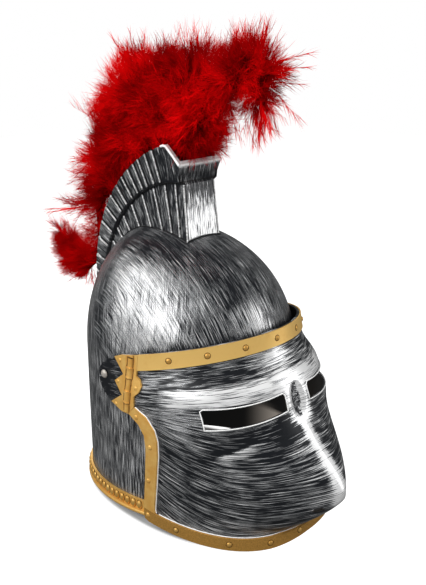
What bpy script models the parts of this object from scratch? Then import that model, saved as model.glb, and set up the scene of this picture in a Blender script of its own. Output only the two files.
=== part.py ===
"""Cavalry helmet: a hollow skull with a ribbed crest and a red plume, and a hinged visor with a beak.

The helmet stands on its chin and its nape. +Z is up, the face looks along -Y and +X is the wearer's left.
Sizes are written in millimetres and become metres where a mesh is made. The origin is under the middle
of the whole helmet's box, so every shape is built round the head's own centre and then moved by PLACE_Y.
"""

import math

import bmesh
import bpy
import numpy as np
from mathutils import Vector

MM = 0.001
PLACE_Y = -7.6
GAP = 0.45

# Skull
WALL = 2.5
SKULL_HALF_WIDTH = 99.3
SKULL_HALF_LENGTH = 114.9
SKULL_MIDDLE_Y = 1.5
SHOULDER_Z = 151.8
CROWN_RISE = 128.0
CROWN_LEAN = 31.8
CROWN_LEAN_POWER = 1.12
DOME_POWER = 2.16
PLAN_POWER = 2.04
RIM_HALF_WIDTH = 101.0
RIM_HALF_LENGTH = 134.4
RIM_MIDDLE_Y = -10.6
RIM_SLOPE = 0.085
NAPE_FLAT = 7.0
FACE_EDGE_Y = -72.0
FACE_TOP_Z = 168.0
FACE_CORNER = 26.0

# Beaded rim band
RIM_BAND_HEIGHT = 15.5
RIM_BAND_THICK = 1.6
RIM_BAND_FRONT_Y = -35.5
LIP_RADIUS = 2.2
BEAD_PITCH = 7.3
BEAD_RADIUS = 2.7
BEAD_HEIGHT = 1.5
BEAD_Z = 8.8
BEAD_SIDES = 5

# Visor
PIVOT_Y = 14.0
PIVOT_Z = 150.0
VISOR_WALL = 2.2
VISOR_END_Y = 28.0
CHIN_SLOPE = 0.155
CHIN_FRONT_Y = -153.8
CHIN_FLAT = 1.2
BROW_SIDE_Z = 175.2
BROW_SLOPE = -0.21
CHIN_MIDDLE_Y = -4.8
BROW_MIDDLE_Y = 1.8
BACK_LENGTH = 150.0
TEMPLE_IN = 4.3
TEMPLE_FROM_Y = -40.0
TEMPLE_TO_Y = 12.0

# The visor's sections without the beak: height at the front, reach forward, half width, roundness
VISOR_SECTIONS = (
    ("height", "reach", "half_width", "power"),
    (0.0, 153.8, 109.8, 2.40),
    (45.0, 150.0, 110.4, 2.42),
    (95.0, 145.6, 110.6, 2.46),
    (122.0, 143.6, 110.4, 2.48),
    (130.0, 142.4, 110.2, 2.44),
    (146.0, 137.4, 109.8, 2.32),
    (154.0, 134.4, 109.4, 2.28),
    (160.0, 130.8, 109.0, 2.22),
    (165.0, 126.8, 108.6, 2.15),
    (170.0, 122.8, 108.2, 2.09),
    (176.0, 120.2, 107.8, 2.02),
    (184.0, 118.2, 107.3, 1.98),
    (199.0, 116.2, 106.8, 1.95),
)

# Rows from the chin to the brow as shares of the height, and columns from the middle
ROW_SHARES = (
    0.0, 0.034, 0.075, 0.14, 0.2, 0.26, 0.32, 0.39, 0.46, 0.53, 0.59, 0.64, 0.69, 0.74, 0.8, 0.865,
    0.93, 1.0,
)
COLUMN_STARTS = (0.0, 4.0, 9.0, 16.0, 25.0, 36.0, 49.0)
EVEN_COLUMNS = 11

# Beak
BEAK_TIP_Z = 52.0
BEAK_REACH = 45.0
BEAK_HALF_WIDTH = 98.0
BEAK_UP = 78.0
BEAK_DOWN = 41.0
BEAK_SIDE_POWER = 1.35
BEAK_UNDER_POWER = 1.3
RIDGE_PROUD = 1.5
RIDGE_WIDTH = 5.0
RECESS_DEEP = 3.2
RECESS_HALF_WIDTH = 8.0
RECESS_TOP_Z = 152.0
RECESS_BOTTOM_Z = 119.0

# Eye slits and breath holes: across, height
SLIT = (
    ("across", "height"),
    (16.4, 129.6),
    (16.0, 143.5),
    (18.5, 146.2),
    (84.6, 141.2),
    (86.4, 139.4),
    (87.3, 123.2),
)
BOTH_SIDES = (-150.0, 150.0)
BREATH_X = 22.0
BREATH_Z = 45.5
BREATH_LONG = 5.2
BREATH_SHORT = 2.0

# Bands on the visor
BAND_THICK = 1.5
BROW_BAND_HEIGHT = 15.4
CHIN_BAND_HEIGHT = 12.6
RIVET_RADIUS = 2.5
RIVET_HEIGHT = 1.5
RIVET_SIDES = 7

# Side view, y and z. The visor's rear edge starts at a cut corner, runs up the cheek and round the arm.
REAR_CORNER = (("y", "z"), (-48.0, -30.0), (-48.0, 15.2), (-43.4, 17.2))
CHEEK_REAR = (
    ("y", "z"),
    (-42.0, 21.5),
    (-45.5, 60.0),
    (-47.8, 93.5),
    (-46.4, 106.8),
    (-39.6, 116.6),
    (-28.5, 122.6),
)
ARM_EDGE = (
    ("y", "z"),
    (-15.7, 121.9),
    (3.4, 124.2),
    (9.3, 127.8),
    (13.9, 131.3),
    (20.0, 136.9),
    (23.5, 143.3),
    (24.6, 149.1),
    (22.9, 154.7),
    (17.1, 161.2),
    (7.1, 167.6),
    (-1.4, 172.4),
    (-13.5, 178.1),
)
CHEEK_FRONT = (
    ("y", "z"),
    (-33.7, 131.4),
    (-47.4, 125.5),
    (-57.1, 115.0),
    (-60.4, 104.1),
    (-60.6, 88.8),
    (-57.9, 59.0),
    (-54.8, 30.0),
)
HINGE_OUTLINE = (
    ("y", "z"),
    (-34.5, 182.0),
    (-13.9, 177.7),
    (-3.7, 173.3),
    (-17.2, 159.6),
    (-4.4, 149.7),
    (-16.3, 139.0),
    (1.1, 126.6),
    (-15.7, 122.3),
    (-26.0, 123.0),
    (-33.3, 131.6),
    (-33.1, 141.9),
    (-38.8, 147.3),
    (-40.7, 153.3),
    (-38.0, 159.2),
    (-33.6, 161.4),
    (-33.9, 166.0),
)
LEAF_RIVETS = (("y", "z"), (-12.2, 172.0), (-9.8, 150.4), (-7.1, 126.8), (-34.6, 150.4))
BARREL_TOP = (-25.8, 178.6)
BARREL_FOOT = (-23.8, 124.8)
BARREL_RADIUS = 3.3
BARREL_PROUD = 2.6
KNUCKLES = (("start", "end"), (0.19, 0.39), (0.62, 0.84))
KNUCKLE_GROWTH = 1.0
BROW_BAND_END = (-34.9, 184.0, -34.3)

# Rivets: along the brow and the chin from the middle, and on the cheek as y and z
BROW_RIVETS = (-110.0, -75.0, -40.0, -5.0, 30.0, 65.0, 100.0)
CHIN_RIVETS = (-137.0, -86.0, -47.0, -12.0, 25.0, 62.0, 99.0, 140.0)
CHEEK_RIVETS = (("y", "z"), (-36.8, 123.0), (-52.4, 96.6), (-49.2, 60.7))
CORNER_RIVETS = (("y", "z"), (-46.6, 22.6))

# Crest: ribs fan out from one point, and two arcs give its groove and its lip (centre and radii)
FAN_Y = -26.0
FAN_Z = 143.0
GROOVE_ARC = (-14.0, 178.5, 128.0, 149.0)
LIP_ARC = (-39.0, 204.0, 158.0, 164.0)
CREST_FRONT_DEG = 88.0
CREST_PEAK_DEG = 83.2
CREST_END_DEG = 17.0
CREST_FRONT_LIP = 202.3
CREST_WALL = 3.2
CREST_SUNK = 6.0
CREST_REAR_SHARE = 0.86
CHANNEL_DEEP = 13.0
CHANNEL_WALL = 4.0
CAVITY_FRONT_DEG = 86.2
CAVITY_END_DEG = 34.0
CREST_HALF_WIDTHS = (22.4, 21.0, 24.6, 28.9)
CREST_BEND_DEG = 85.6
RIB_RAISED = 0.5
RIB_SUNK = 1.2
RIB_STEPS_DEG = (-0.1, 0.25, 0.95)

# The crest's front edge from the skull up to the lip: half width, y, z
CREST_FRONT = (
    ("half_width", "y", "z"),
    (22.6, -22.2, 262.0),
    (21.0, -16.4, 325.4),
    (25.3, -14.5, 328.2),
    (28.9, -19.0, 345.0),
)

# Where the plates of the two rows begin, in degrees of the fan
UPPER_RIBS_DEG = (78.2, 75.2, 72.0, 69.5, 66.7, 63.2, 59.6, 55.4, 50.9, 45.7, 39.7, 33.3, 27.0, 21.0)
LOWER_RIBS_DEG = (83.6, 78.9, 73.4, 67.3, 60.6, 54.3, 48.4, 42.4, 36.4, 30.4)

# Plume: puffs of down, each a centre and three half sizes
PUFFS = (
    ("y", "z", "half_x", "half_y", "half_z"),
    (-78.0, 430.0, 28.0, 36.0, 27.0),
    (-94.0, 412.0, 17.0, 16.0, 20.0),
    (-18.0, 412.0, 33.0, 34.0, 38.0),
    (34.0, 404.0, 34.0, 44.0, 42.0),
    (72.0, 399.0, 30.0, 38.0, 44.0),
    (99.0, 361.0, 25.0, 34.0, 46.0),
    (128.0, 322.0, 20.0, 24.0, 36.0),
    (138.0, 268.0, 13.0, 12.0, 34.0),
    (140.0, 238.0, 13.0, 15.0, 26.0),
    (166.0, 214.0, 17.0, 26.0, 18.0),
    (-8.0, 364.0, 23.0, 16.0, 22.0),
    (-22.0, 384.0, 24.0, 22.0, 24.0),
    (14.0, 372.0, 24.0, 24.0, 24.0),
    (42.0, 352.0, 17.0, 38.0, 26.0),
    (92.0, 308.0, 16.0, 28.0, 30.0),
)

# Plume: tapered locks that leave the puffs, from a root to a tip
LOCKS = (
    ("root_y", "root_z", "tip_x", "tip_y", "tip_z", "radius"),
    (-95.0, 430.0, 6.0, -122.0, 434.0, 13.0),
    (-88.0, 440.0, -6.0, -94.0, 462.0, 12.0),
    (-66.0, 438.0, 8.0, -66.0, 460.0, 12.0),
    (-100.0, 408.0, -4.0, -108.0, 384.0, 11.0),
    (-90.0, 404.0, 6.0, -89.0, 376.0, 10.0),
    (-50.0, 404.0, 4.0, -52.0, 378.0, 12.0),
    (-14.0, 435.0, -4.0, -14.0, 460.0, 9.0),
    (70.0, 428.0, 6.0, 74.0, 452.0, 12.0),
    (88.0, 418.0, -8.0, 96.0, 436.0, 11.0),
    (100.0, 395.0, -10.0, 114.0, 408.0, 12.0),
    (118.0, 362.0, -12.0, 128.0, 392.0, 6.0),
    (128.0, 352.0, -16.0, 127.0, 412.0, 5.5),
    (132.0, 335.0, -8.0, 164.0, 334.0, 11.0),
    (134.0, 318.0, -8.0, 164.0, 312.0, 11.0),
    (142.0, 292.0, -6.0, 168.0, 286.0, 9.0),
    (160.0, 282.0, -8.0, 208.0, 272.0, 4.5),
    (176.0, 226.0, -14.0, 210.0, 254.0, 13.0),
    (182.0, 216.0, -12.0, 204.0, 226.0, 12.0),
    (180.0, 206.0, -10.0, 196.0, 202.0, 11.0),
    (162.0, 206.0, -8.0, 164.0, 190.0, 11.0),
    (30.0, 425.0, -14.0, 30.0, 442.0, 12.0),
    (-8.0, 385.0, 8.0, -28.0, 374.0, 10.0),
)
PLUME_VOXEL = 0.0055
PLUME_SHARE_KEPT = 0.24
PLUME_CLEAR = 1.0

# Pivot rivets
PIN_RADIUS = 2.5
PIN_PLAY = 0.3
HEAD_RADIUS = 4.3
HEAD_HEIGHT = 2.6
INNER_HEAD = (94.4, 95.8, 3.6)

COLOURS = {
    "silver": ((0.42, 0.43, 0.44), 0.35, 0.6),
    "gold": ((0.62, 0.40, 0.13), 0.4, 0.5),
    "pewter": ((0.45, 0.43, 0.40), 0.35, 0.8),
    "feather": ((0.55, 0.01, 0.01), 0.9, 0.0),
}


def clear_scene():
    for thing in list(bpy.data.objects):
        bpy.data.objects.remove(thing, do_unlink=True)


def finish_material(name):
    """One Principled material for each finish."""
    known = bpy.data.materials.get(name)
    if known:
        return known
    colour, roughness, metallic = COLOURS[name]
    made = bpy.data.materials.new(name)
    made.use_nodes = True
    shader = made.node_tree.nodes["Principled BSDF"]
    shader.inputs["Base Color"].default_value = (*colour, 1.0)
    shader.inputs["Roughness"].default_value = roughness
    shader.inputs["Metallic"].default_value = metallic
    return made


def body_empty(name, y, z):
    """The empty that a body's pieces hang on, at its joint's axis."""
    empty = bpy.data.objects.new(name, None)
    empty.location = (0.0, (y + PLACE_Y) * MM, z * MM)
    bpy.context.scene.collection.objects.link(empty)
    return empty


def add_piece(name, shape, body, finish, smooth_deg=35.0):
    """An object from (points, faces) in the head's frame, with its origin on its body's empty."""
    points, faces = shape
    local = [(Vector((p[0], p[1] + PLACE_Y, p[2])) * MM) - body.location for p in points]
    mesh = bpy.data.meshes.new(name)
    mesh.from_pydata(local, [], faces)
    mesh.validate()
    piece = bpy.data.objects.new(name, mesh)
    bpy.context.scene.collection.objects.link(piece)
    piece.parent = body
    mesh.materials.append(finish_material(finish))
    outward = bmesh.new()
    outward.from_mesh(mesh)
    bmesh.ops.recalc_face_normals(outward, faces=outward.faces)
    outward.to_mesh(mesh)
    outward.free()
    mesh.shade_smooth()
    mesh.set_sharp_from_angle(angle=math.radians(smooth_deg))
    return piece


def add_helper(name, shape, body):
    """A cutter or a shape to be joined, left out of the render."""
    helper = add_piece(name, shape, body, "silver")
    helper.hide_render = True
    helper.display_type = "WIRE"
    return helper


def combine(piece, helper, operation):
    step = piece.modifiers.new(helper.name, "BOOLEAN")
    step.operation = operation
    step.object = helper
    step.solver = "EXACT"


def merge_shapes(shapes):
    """Several (points, faces) as one, each still a closed body of its own."""
    points, faces = [], []
    for more_points, more_faces in shapes:
        start = len(points)
        points += [tuple(p) for p in more_points]
        faces += [tuple(start + i for i in face) for face in more_faces]
    return points, faces


def smooth_through(xs, ys, x):
    """A smooth curve through a table's rows that doesn't swing past them."""
    step = np.diff(xs)
    rise = np.diff(ys) / step
    slope = np.zeros(len(xs))
    slope[0], slope[-1] = rise[0], rise[-1]
    product = rise[:-1] * rise[1:]
    total = np.where(product > 0, rise[:-1] + rise[1:], 1.0)
    slope[1:-1] = np.where(product > 0, 2.0 * product / total, 0.0)
    i = np.clip(np.searchsorted(xs, x) - 1, 0, len(step) - 1)
    t = (x - xs[i]) / step[i]
    from_start = ys[i] * (1 + 2 * t) * (1 - t) ** 2 + slope[i] * step[i] * t * (1 - t) ** 2
    from_end = ys[i + 1] * t**2 * (3 - 2 * t) + slope[i + 1] * step[i] * t**2 * (t - 1)
    return from_start + from_end


def ease(x):
    """0 to 1, level at both ends."""
    x = np.clip(x, 0.0, 1.0)
    return x * x * (3.0 - 2.0 * x)


def signed_power(value, power):
    return np.sign(value) * np.abs(value) ** power


def sheet_solid(outer, inner):
    """A closed wall between two grids of points. Its triangles mirror about the middle column."""
    rows, cols = outer.shape[:2]
    points = np.concatenate([outer.reshape(-1, 3), inner.reshape(-1, 3)])
    behind = rows * cols
    faces = []
    for r in range(rows - 1):
        for c in range(cols - 1):
            a, b = r * cols + c, r * cols + c + 1
            above_a, above_b = a + cols, b + cols
            if c < cols // 2:
                halves = ((a, b, above_b), (a, above_b, above_a))
            else:
                halves = ((a, b, above_a), (b, above_b, above_a))
            for half in halves:
                faces.append(half)
                faces.append(tuple(behind + i for i in half[::-1]))
    border = list(range(cols))
    border += [r * cols + cols - 1 for r in range(1, rows)]
    border += [(rows - 1) * cols + c for c in range(cols - 2, -1, -1)]
    border += [r * cols for r in range(rows - 2, 0, -1)]
    for a, b in zip(border, border[1:] + border[:1]):
        faces.append((b, a, behind + a, behind + b))
    return points, faces


def loft(sections, mirrored=False):
    """A closed solid through closed sections with as many points each. Mirrored ones get level caps."""
    count = len(sections[0])
    points = [tuple(p) for section in sections for p in section]
    last = (len(sections) - 1) * count
    faces = []
    for s in range(len(sections) - 1):
        for i in range(count):
            a, b = s * count + i, s * count + (i + 1) % count
            faces.append((a, b, b + count, a + count))
    if not mirrored:
        faces.append(tuple(range(count)))
        faces.append(tuple(last + i for i in range(count))[::-1])
        return points, faces
    for i in range(count // 2 - 1):
        strip = (i, i + 1, count - 2 - i, count - 1 - i)
        faces.append(strip)
        faces.append(tuple(last + k for k in strip[::-1]))
    return points, faces


def prism_x(outline, low, high):
    """An outline of (y, z) pairs drawn out along X."""
    return loft([[(x, y, z) for y, z in outline] for x in (low, high)])


def prism_y(outline, low, high):
    """An outline of (x, z) pairs drawn out along Y."""
    return loft([[(x, y, z) for x, z in outline] for y in (low, high)])


def arc_points(centre, radius, start_deg, end_deg, count):
    """Points on an arc or, with two radii, on a stretch of an ellipse."""
    wide, high = radius if isinstance(radius, tuple) else (radius, radius)
    turns = np.radians(np.linspace(start_deg, end_deg, count))
    return [(centre[0] + wide * math.cos(t), centre[1] + high * math.sin(t)) for t in turns]


def dome(centre, normal, radius, height, sides, sink=0.7):
    """A low rivet or bead: a closed cap on a short skirt that goes into what carries it."""
    out = np.array(normal) / np.linalg.norm(normal)
    up = np.array((0.0, 0.0, 1.0)) - out * out[2]
    up = up / np.linalg.norm(up)
    side = np.cross(up, out)
    rings = ((1.0, -sink), (1.0, 0.0), (0.66, 0.72 * height))
    points, faces = [], []
    for share, lift in rings:
        for k in range(sides):
            turn = 2.0 * math.pi * k / sides
            across = side * math.cos(turn) + up * math.sin(turn)
            points.append(tuple(centre + across * radius * share + out * lift))
    top = len(points)
    points.append(tuple(centre + out * height))
    faces.append(tuple(range(sides))[::-1])
    for ring in range(len(rings) - 1):
        for k in range(sides):
            a, b = ring * sides + k, ring * sides + (k + 1) % sides
            faces.append((a, b, b + sides, a + sides))
    last = (len(rings) - 1) * sides
    faces += [(last + k, last + (k + 1) % sides, top) for k in range(sides)]
    return points, faces


def tube(start, end, radius, sides=12):
    """A round bar between two points."""
    start, end = np.array(start, float), np.array(end, float)
    along = (end - start) / np.linalg.norm(end - start)
    side = np.cross(along, (1.0, 0.0, 0.0) if abs(along[0]) < 0.9 else (0.0, 1.0, 0.0))
    side = side / np.linalg.norm(side)
    other = np.cross(along, side)
    turns = [2.0 * math.pi * k / sides for k in range(sides)]
    ring = [side * math.cos(t) * radius + other * math.sin(t) * radius for t in turns]
    return loft([[tuple(end_point + r) for r in ring] for end_point in (start, end)])


def rim_height(y):
    """The skull's lower edge rises from the flat nape towards the face."""
    return np.maximum(0.0, RIM_SLOPE * (RIM_MIDDLE_Y + RIM_HALF_LENGTH - NAPE_FLAT - y))


def skull_plan(turn, half_width, half_length, middle):
    """A level section of the skull. Turn is 0 at the face and grows towards the wearer's left."""
    x = half_width * signed_power(np.sin(turn), 2.0 / PLAN_POWER)
    y = middle - half_length * signed_power(np.cos(turn), 2.0 / PLAN_POWER)
    return x, y


def skull_wall(turn, share, inset=0.0):
    """A point of the straight wall: share is 0 at the rim and 1 at the shoulder."""
    rim_x, rim_y = skull_plan(turn, RIM_HALF_WIDTH - inset, RIM_HALF_LENGTH - inset, RIM_MIDDLE_Y)
    top_x, top_y = skull_plan(
        turn, SKULL_HALF_WIDTH - inset, SKULL_HALF_LENGTH - inset, SKULL_MIDDLE_Y
    )
    low = rim_height(rim_y)
    blend = share * (0.35 + 0.65 * share)
    return np.stack(
        [
            rim_x + (top_x - rim_x) * blend,
            rim_y + (top_y - rim_y) * blend,
            low + (SHOULDER_Z - low) * share,
        ],
        -1,
    )


def skull_dome(turn, size, inset=0.0):
    """A point of the dome: size is 1 at the shoulder and 0 at the crown, which leans back."""
    x, y = skull_plan(
        turn, (SKULL_HALF_WIDTH - inset) * size, (SKULL_HALF_LENGTH - inset) * size, SKULL_MIDDLE_Y
    )
    y = y + CROWN_LEAN * (1.0 - size) ** CROWN_LEAN_POWER
    z = SHOULDER_Z + (CROWN_RISE - inset) * (1.0 - size**DOME_POWER) ** (1.0 / DOME_POWER)
    return np.stack([x, y, z + 0.0 * x], -1)


def skull_layer(wall_rows, dome_rows, columns, inset):
    """The grid of one face of the skull from the rim to near the crown, and the crown's own point."""
    turns = np.linspace(0.0, 2.0 * math.pi, columns, endpoint=False)
    rows = [skull_wall(turns, share, inset) for share in np.linspace(0.0, 1.0, wall_rows)]
    for step in range(1, dome_rows):
        rise = math.radians(90.0 * step / dome_rows)
        rows.append(skull_dome(turns, math.cos(rise) ** (2.0 / DOME_POWER), inset))
    crown = skull_dome(np.array(0.0), 0.0, inset)
    return np.array(rows), crown


def skull_solid(wall_rows=3, dome_rows=9, columns=40):
    outer, crown = skull_layer(wall_rows, dome_rows, columns, 0.0)
    inner, inner_crown = skull_layer(wall_rows, dome_rows, columns, WALL)
    rows = len(outer)
    behind = rows * columns
    points = np.concatenate(
        [outer.reshape(-1, 3), inner.reshape(-1, 3), crown[None], inner_crown[None]]
    )
    faces = []
    for r in range(rows - 1):
        for c in range(columns):
            a, b = r * columns + c, r * columns + (c + 1) % columns
            faces.append((a, b, b + columns, a + columns))
            faces.append((behind + a + columns, behind + b + columns, behind + b, behind + a))
    last = (rows - 1) * columns
    for c in range(columns):
        after = (c + 1) % columns
        faces.append((after, c, behind + c, behind + after))
        faces.append((last + c, last + after, 2 * behind))
        faces.append((behind + last + after, behind + last + c, 2 * behind + 1))
    return points, faces


def crown_height(x, y):
    """Height of the dome's outer face over a point of the plan."""
    low, high = 1e-6, 1.0
    for _ in range(40):
        size = 0.5 * (low + high)
        centre = SKULL_MIDDLE_Y + CROWN_LEAN * (1.0 - size) ** CROWN_LEAN_POWER
        reach = abs(x / (SKULL_HALF_WIDTH * size)) ** PLAN_POWER
        reach += abs((y - centre) / (SKULL_HALF_LENGTH * size)) ** PLAN_POWER
        low, high = (size, high) if reach > 1.0 else (low, size)
    return SHOULDER_Z + CROWN_RISE * (1.0 - high**DOME_POWER) ** (1.0 / DOME_POWER)


def make_skull(helmet):
    skull = add_piece("skull_shell", skull_solid(), helmet, "silver")
    corner = arc_points(
        (FACE_EDGE_Y - FACE_CORNER, FACE_TOP_Z - FACE_CORNER), FACE_CORNER, 90.0, 0.0, 7
    )
    outline = [(-220.0, -30.0), (-220.0, FACE_TOP_Z), *corner, (FACE_EDGE_Y, -30.0)]
    face_cutter = add_helper("face_opening_cutter", prism_x(outline, -160.0, 160.0), helmet)
    combine(skull, face_cutter, "DIFFERENCE")
    bore = tube((-130.0, PIVOT_Y, PIVOT_Z), (130.0, PIVOT_Y, PIVOT_Z), PIN_RADIUS + PIN_PLAY, 16)
    combine(skull, add_helper("skull_pin_cutter", bore, helmet), "DIFFERENCE")
    return skull


def skull_volume(grow, wall_rows=3, dome_rows=9, columns=40):
    """The skull's outer form, filled and grown, to keep other pieces clear of it."""
    layer, crown = skull_layer(wall_rows, dome_rows, columns, -grow)
    rows = len(layer)
    points = np.concatenate([layer.reshape(-1, 3), crown[None]])
    faces = [tuple(range(columns))[::-1]]
    for r in range(rows - 1):
        for c in range(columns):
            a, b = r * columns + c, r * columns + (c + 1) % columns
            faces.append((a, b, b + columns, a + columns))
    last = (rows - 1) * columns
    faces += [(last + c, last + (c + 1) % columns, rows * columns) for c in range(columns)]
    return points, faces


def rim_point(turn, out, up):
    """A point outside the skull's wall, a height above its lower edge."""
    low = rim_height(skull_plan(turn, RIM_HALF_WIDTH, RIM_HALF_LENGTH, RIM_MIDDLE_Y)[1])
    return skull_wall(turn, up / (SHOULDER_Z - low), -out)


def rim_turn_limit():
    """The turn at which the rim band ends on the wearer's left."""
    turns = np.linspace(0.2, math.pi, 2000)
    y = skull_plan(turns, RIM_HALF_WIDTH, RIM_HALF_LENGTH, RIM_MIDDLE_Y)[1]
    return float(turns[np.argmax(y > RIM_BAND_FRONT_Y)])


def make_rim_band(helmet):
    """A band with a rolled lower lip, a thin upper edge and a row of half-round beads."""
    face = GAP + RIM_BAND_THICK
    profile = (
        (GAP, 0.0),
        (face + 1.4, 0.0),
        (face + 2.6, 0.45 * LIP_RADIUS),
        (face + 3.0, LIP_RADIUS),
        (face + 2.4, 1.6 * LIP_RADIUS),
        (face + 1.0, 2.0 * LIP_RADIUS),
        (face, 2.1 * LIP_RADIUS),
        (face, RIM_BAND_HEIGHT - 1.3),
        (face + 0.6, RIM_BAND_HEIGHT - 1.0),
        (face + 0.6, RIM_BAND_HEIGHT),
        (GAP, RIM_BAND_HEIGHT),
    )
    first = rim_turn_limit()
    turns = np.linspace(first, 2.0 * math.pi - first, 29)
    sections = [[tuple(rim_point(np.array(t), d, h)) for d, h in profile] for t in turns]
    band = add_piece("rim_band", loft(sections), helmet, "gold")
    fine = np.linspace(first, 2.0 * math.pi - first, 1500)
    track = rim_point(fine, face, np.full(len(fine), BEAD_Z))
    run = np.concatenate([[0.0], np.cumsum(np.linalg.norm(np.diff(track, axis=0), axis=1))])
    count = int((run[-1] - 2.0 * BEAD_RADIUS) / BEAD_PITCH)
    start = 0.5 * (run[-1] - (count - 1) * BEAD_PITCH)
    beads = []
    for k in range(count):
        turn = np.interp(start + k * BEAD_PITCH, run, fine)
        centre = rim_point(turn, face, BEAD_Z)
        outward = rim_point(turn, face + 1.0, BEAD_Z) - centre
        beads.append(dome(centre, outward, BEAD_RADIUS, BEAD_HEIGHT, BEAD_SIDES))
    combine(band, add_helper("rim_beads", merge_shapes(beads), helmet), "UNION")


def arc_reach(deg, arc):
    """How far a ray of the fan runs before it meets an arc."""
    middle_y, middle_z, radius_y, radius_z = arc
    along_y, along_z = math.cos(math.radians(deg)), math.sin(math.radians(deg))
    from_y, from_z = FAN_Y - middle_y, FAN_Z - middle_z
    square = (along_y / radius_y) ** 2 + (along_z / radius_z) ** 2
    half = from_y * along_y / radius_y**2 + from_z * along_z / radius_z**2
    rest = (from_y / radius_y) ** 2 + (from_z / radius_z) ** 2 - 1.0
    return (math.sqrt(half * half - square * rest) - half) / square


def lip_reach(deg):
    """The lip follows its arc, and ramps down to the front."""
    peak = arc_reach(min(deg, CREST_PEAK_DEG), LIP_ARC)
    if deg <= CREST_PEAK_DEG:
        return peak
    ramp = (deg - CREST_PEAK_DEG) / (CREST_FRONT_DEG - CREST_PEAK_DEG)
    return peak + (CREST_FRONT_LIP - peak) * ramp


def skull_reach(deg, x):
    """How far a ray of the fan, moved sideways by x, runs before it leaves the dome."""
    low, high = 80.0, 200.0
    for _ in range(24):
        reach = 0.5 * (low + high)
        y = FAN_Y + reach * math.cos(math.radians(deg))
        z = FAN_Z + reach * math.sin(math.radians(deg))
        low, high = (reach, high) if z < crown_height(x, y) else (low, reach)
    return low


def crest_narrowing(deg):
    """The crest's widths shrink evenly towards its rear end."""
    share = (CREST_FRONT_DEG - deg) / (CREST_FRONT_DEG - CREST_END_DEG)
    return 1.0 + (CREST_REAR_SHARE - 1.0) * share


def plate_offset(deg, ribs):
    """How far a row's side stands out: each plate rises towards its front edge, then drops into a groove."""
    knots, heights = [], []
    for rib in sorted(ribs):
        knots += [rib + step for step in RIB_STEPS_DEG]
        heights += [RIB_RAISED, -RIB_SUNK, 0.0]
    return float(np.interp(deg, knots, heights, left=0.0, right=0.0))


def fan_section(deg, corners):
    """A closed section on one ray: (x, distance) pairs up one side, mirrored down the other."""
    along_y, along_z = math.cos(math.radians(deg)), math.sin(math.radians(deg))
    right = [(x, FAN_Y + r * along_y, FAN_Z + r * along_z) for x, r in corners]
    return right + [(-x, y, z) for x, y, z in right[::-1]]


def crest_outer():
    """The crest's outer form with its two rows of plates."""
    foot, under, over, top = CREST_HALF_WIDTHS
    stations = {CREST_PEAK_DEG, CREST_BEND_DEG, CREST_END_DEG}
    for rib in UPPER_RIBS_DEG + LOWER_RIBS_DEG:
        stations |= {rib + step for step in RIB_STEPS_DEG}
    front = list(CREST_FRONT[1:])
    sections = [front + [(-x, y, z) for x, y, z in front[::-1]]]
    for deg in sorted(stations, reverse=True):
        thin = crest_narrowing(deg)
        low_row = plate_offset(deg, LOWER_RIBS_DEG)
        high_row = plate_offset(deg, UPPER_RIBS_DEG)
        groove = arc_reach(deg, GROOVE_ARC)
        lip = lip_reach(deg)
        base = skull_reach(deg, 22.0 * thin) - CREST_SUNK
        groove = min(groove, lip - 1.5)
        corners = (
            (foot * thin + low_row, min(base, groove - 3.0)),
            (under * thin + low_row, groove - 1.2),
            (over * thin + high_row, groove + 0.3),
            (top * thin + high_row, lip),
        )
        sections.append(fan_section(deg, corners))
    return loft(sections, mirrored=True)


def crest_channel(shrink):
    """The trough that holds the plume, cut down from the lip."""
    top = CREST_HALF_WIDTHS[-1]
    half_front = top - CHANNEL_WALL - shrink
    front = ((half_front - 4.0, -10.8, 333.0 + shrink), (half_front + 1.0, -17.4 + shrink, 353.0))
    sections = [list(front) + [(-x, y, z) for x, y, z in front[::-1]]]
    for deg in [CREST_PEAK_DEG] + list(np.linspace(79.0, CREST_END_DEG - 3.0, 13)):
        thin = crest_narrowing(deg)
        lip = lip_reach(max(deg, CREST_END_DEG))
        floor = max(lip - CHANNEL_DEEP, skull_reach(max(deg, CREST_END_DEG), 0.0) + CREST_WALL)
        half = top * thin - CHANNEL_WALL - shrink
        sections.append(fan_section(deg, ((half - 3.0, floor + shrink), (half + 1.5, lip + 8.0))))
    return loft(sections, mirrored=True)


def crest_cavity():
    """The hollow under the channel, open to the skull."""
    sections = []
    for deg in [CAVITY_FRONT_DEG, CREST_PEAK_DEG] + list(np.linspace(79.0, CAVITY_END_DEG, 9)):
        half = CREST_HALF_WIDTHS[1] * crest_narrowing(deg) - CREST_WALL
        floor = lip_reach(deg) - CHANNEL_DEEP - CREST_WALL
        if deg > CREST_PEAK_DEG:
            floor = arc_reach(deg, GROOVE_ARC) - 1.0
        sections.append(fan_section(deg, ((half, 90.0), (half, floor))))
    return loft(sections, mirrored=True)


def make_crest(helmet):
    crest = add_piece("crest_holder", crest_outer(), helmet, "silver", smooth_deg=20.0)
    combine(crest, add_helper("crest_channel_cutter", crest_channel(0.0), helmet), "DIFFERENCE")
    combine(crest, add_helper("crest_cavity_cutter", crest_cavity(), helmet), "DIFFERENCE")
    combine(crest, add_helper("skull_keep_out", skull_volume(GAP), helmet), "DIFFERENCE")


def puff(centre, half_sizes, rings=9, sides=14):
    """An ellipsoid of down."""
    sections = []
    for r in range(1, rings):
        slope = math.pi * r / rings
        wide, high = math.sin(slope), -math.cos(slope)
        sections.append(
            [
                (
                    centre[0] + half_sizes[0] * wide * math.cos(2.0 * math.pi * k / sides),
                    centre[1] + half_sizes[1] * wide * math.sin(2.0 * math.pi * k / sides),
                    centre[2] + half_sizes[2] * high,
                )
                for k in range(sides)
            ]
        )
    return loft(sections)


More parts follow.
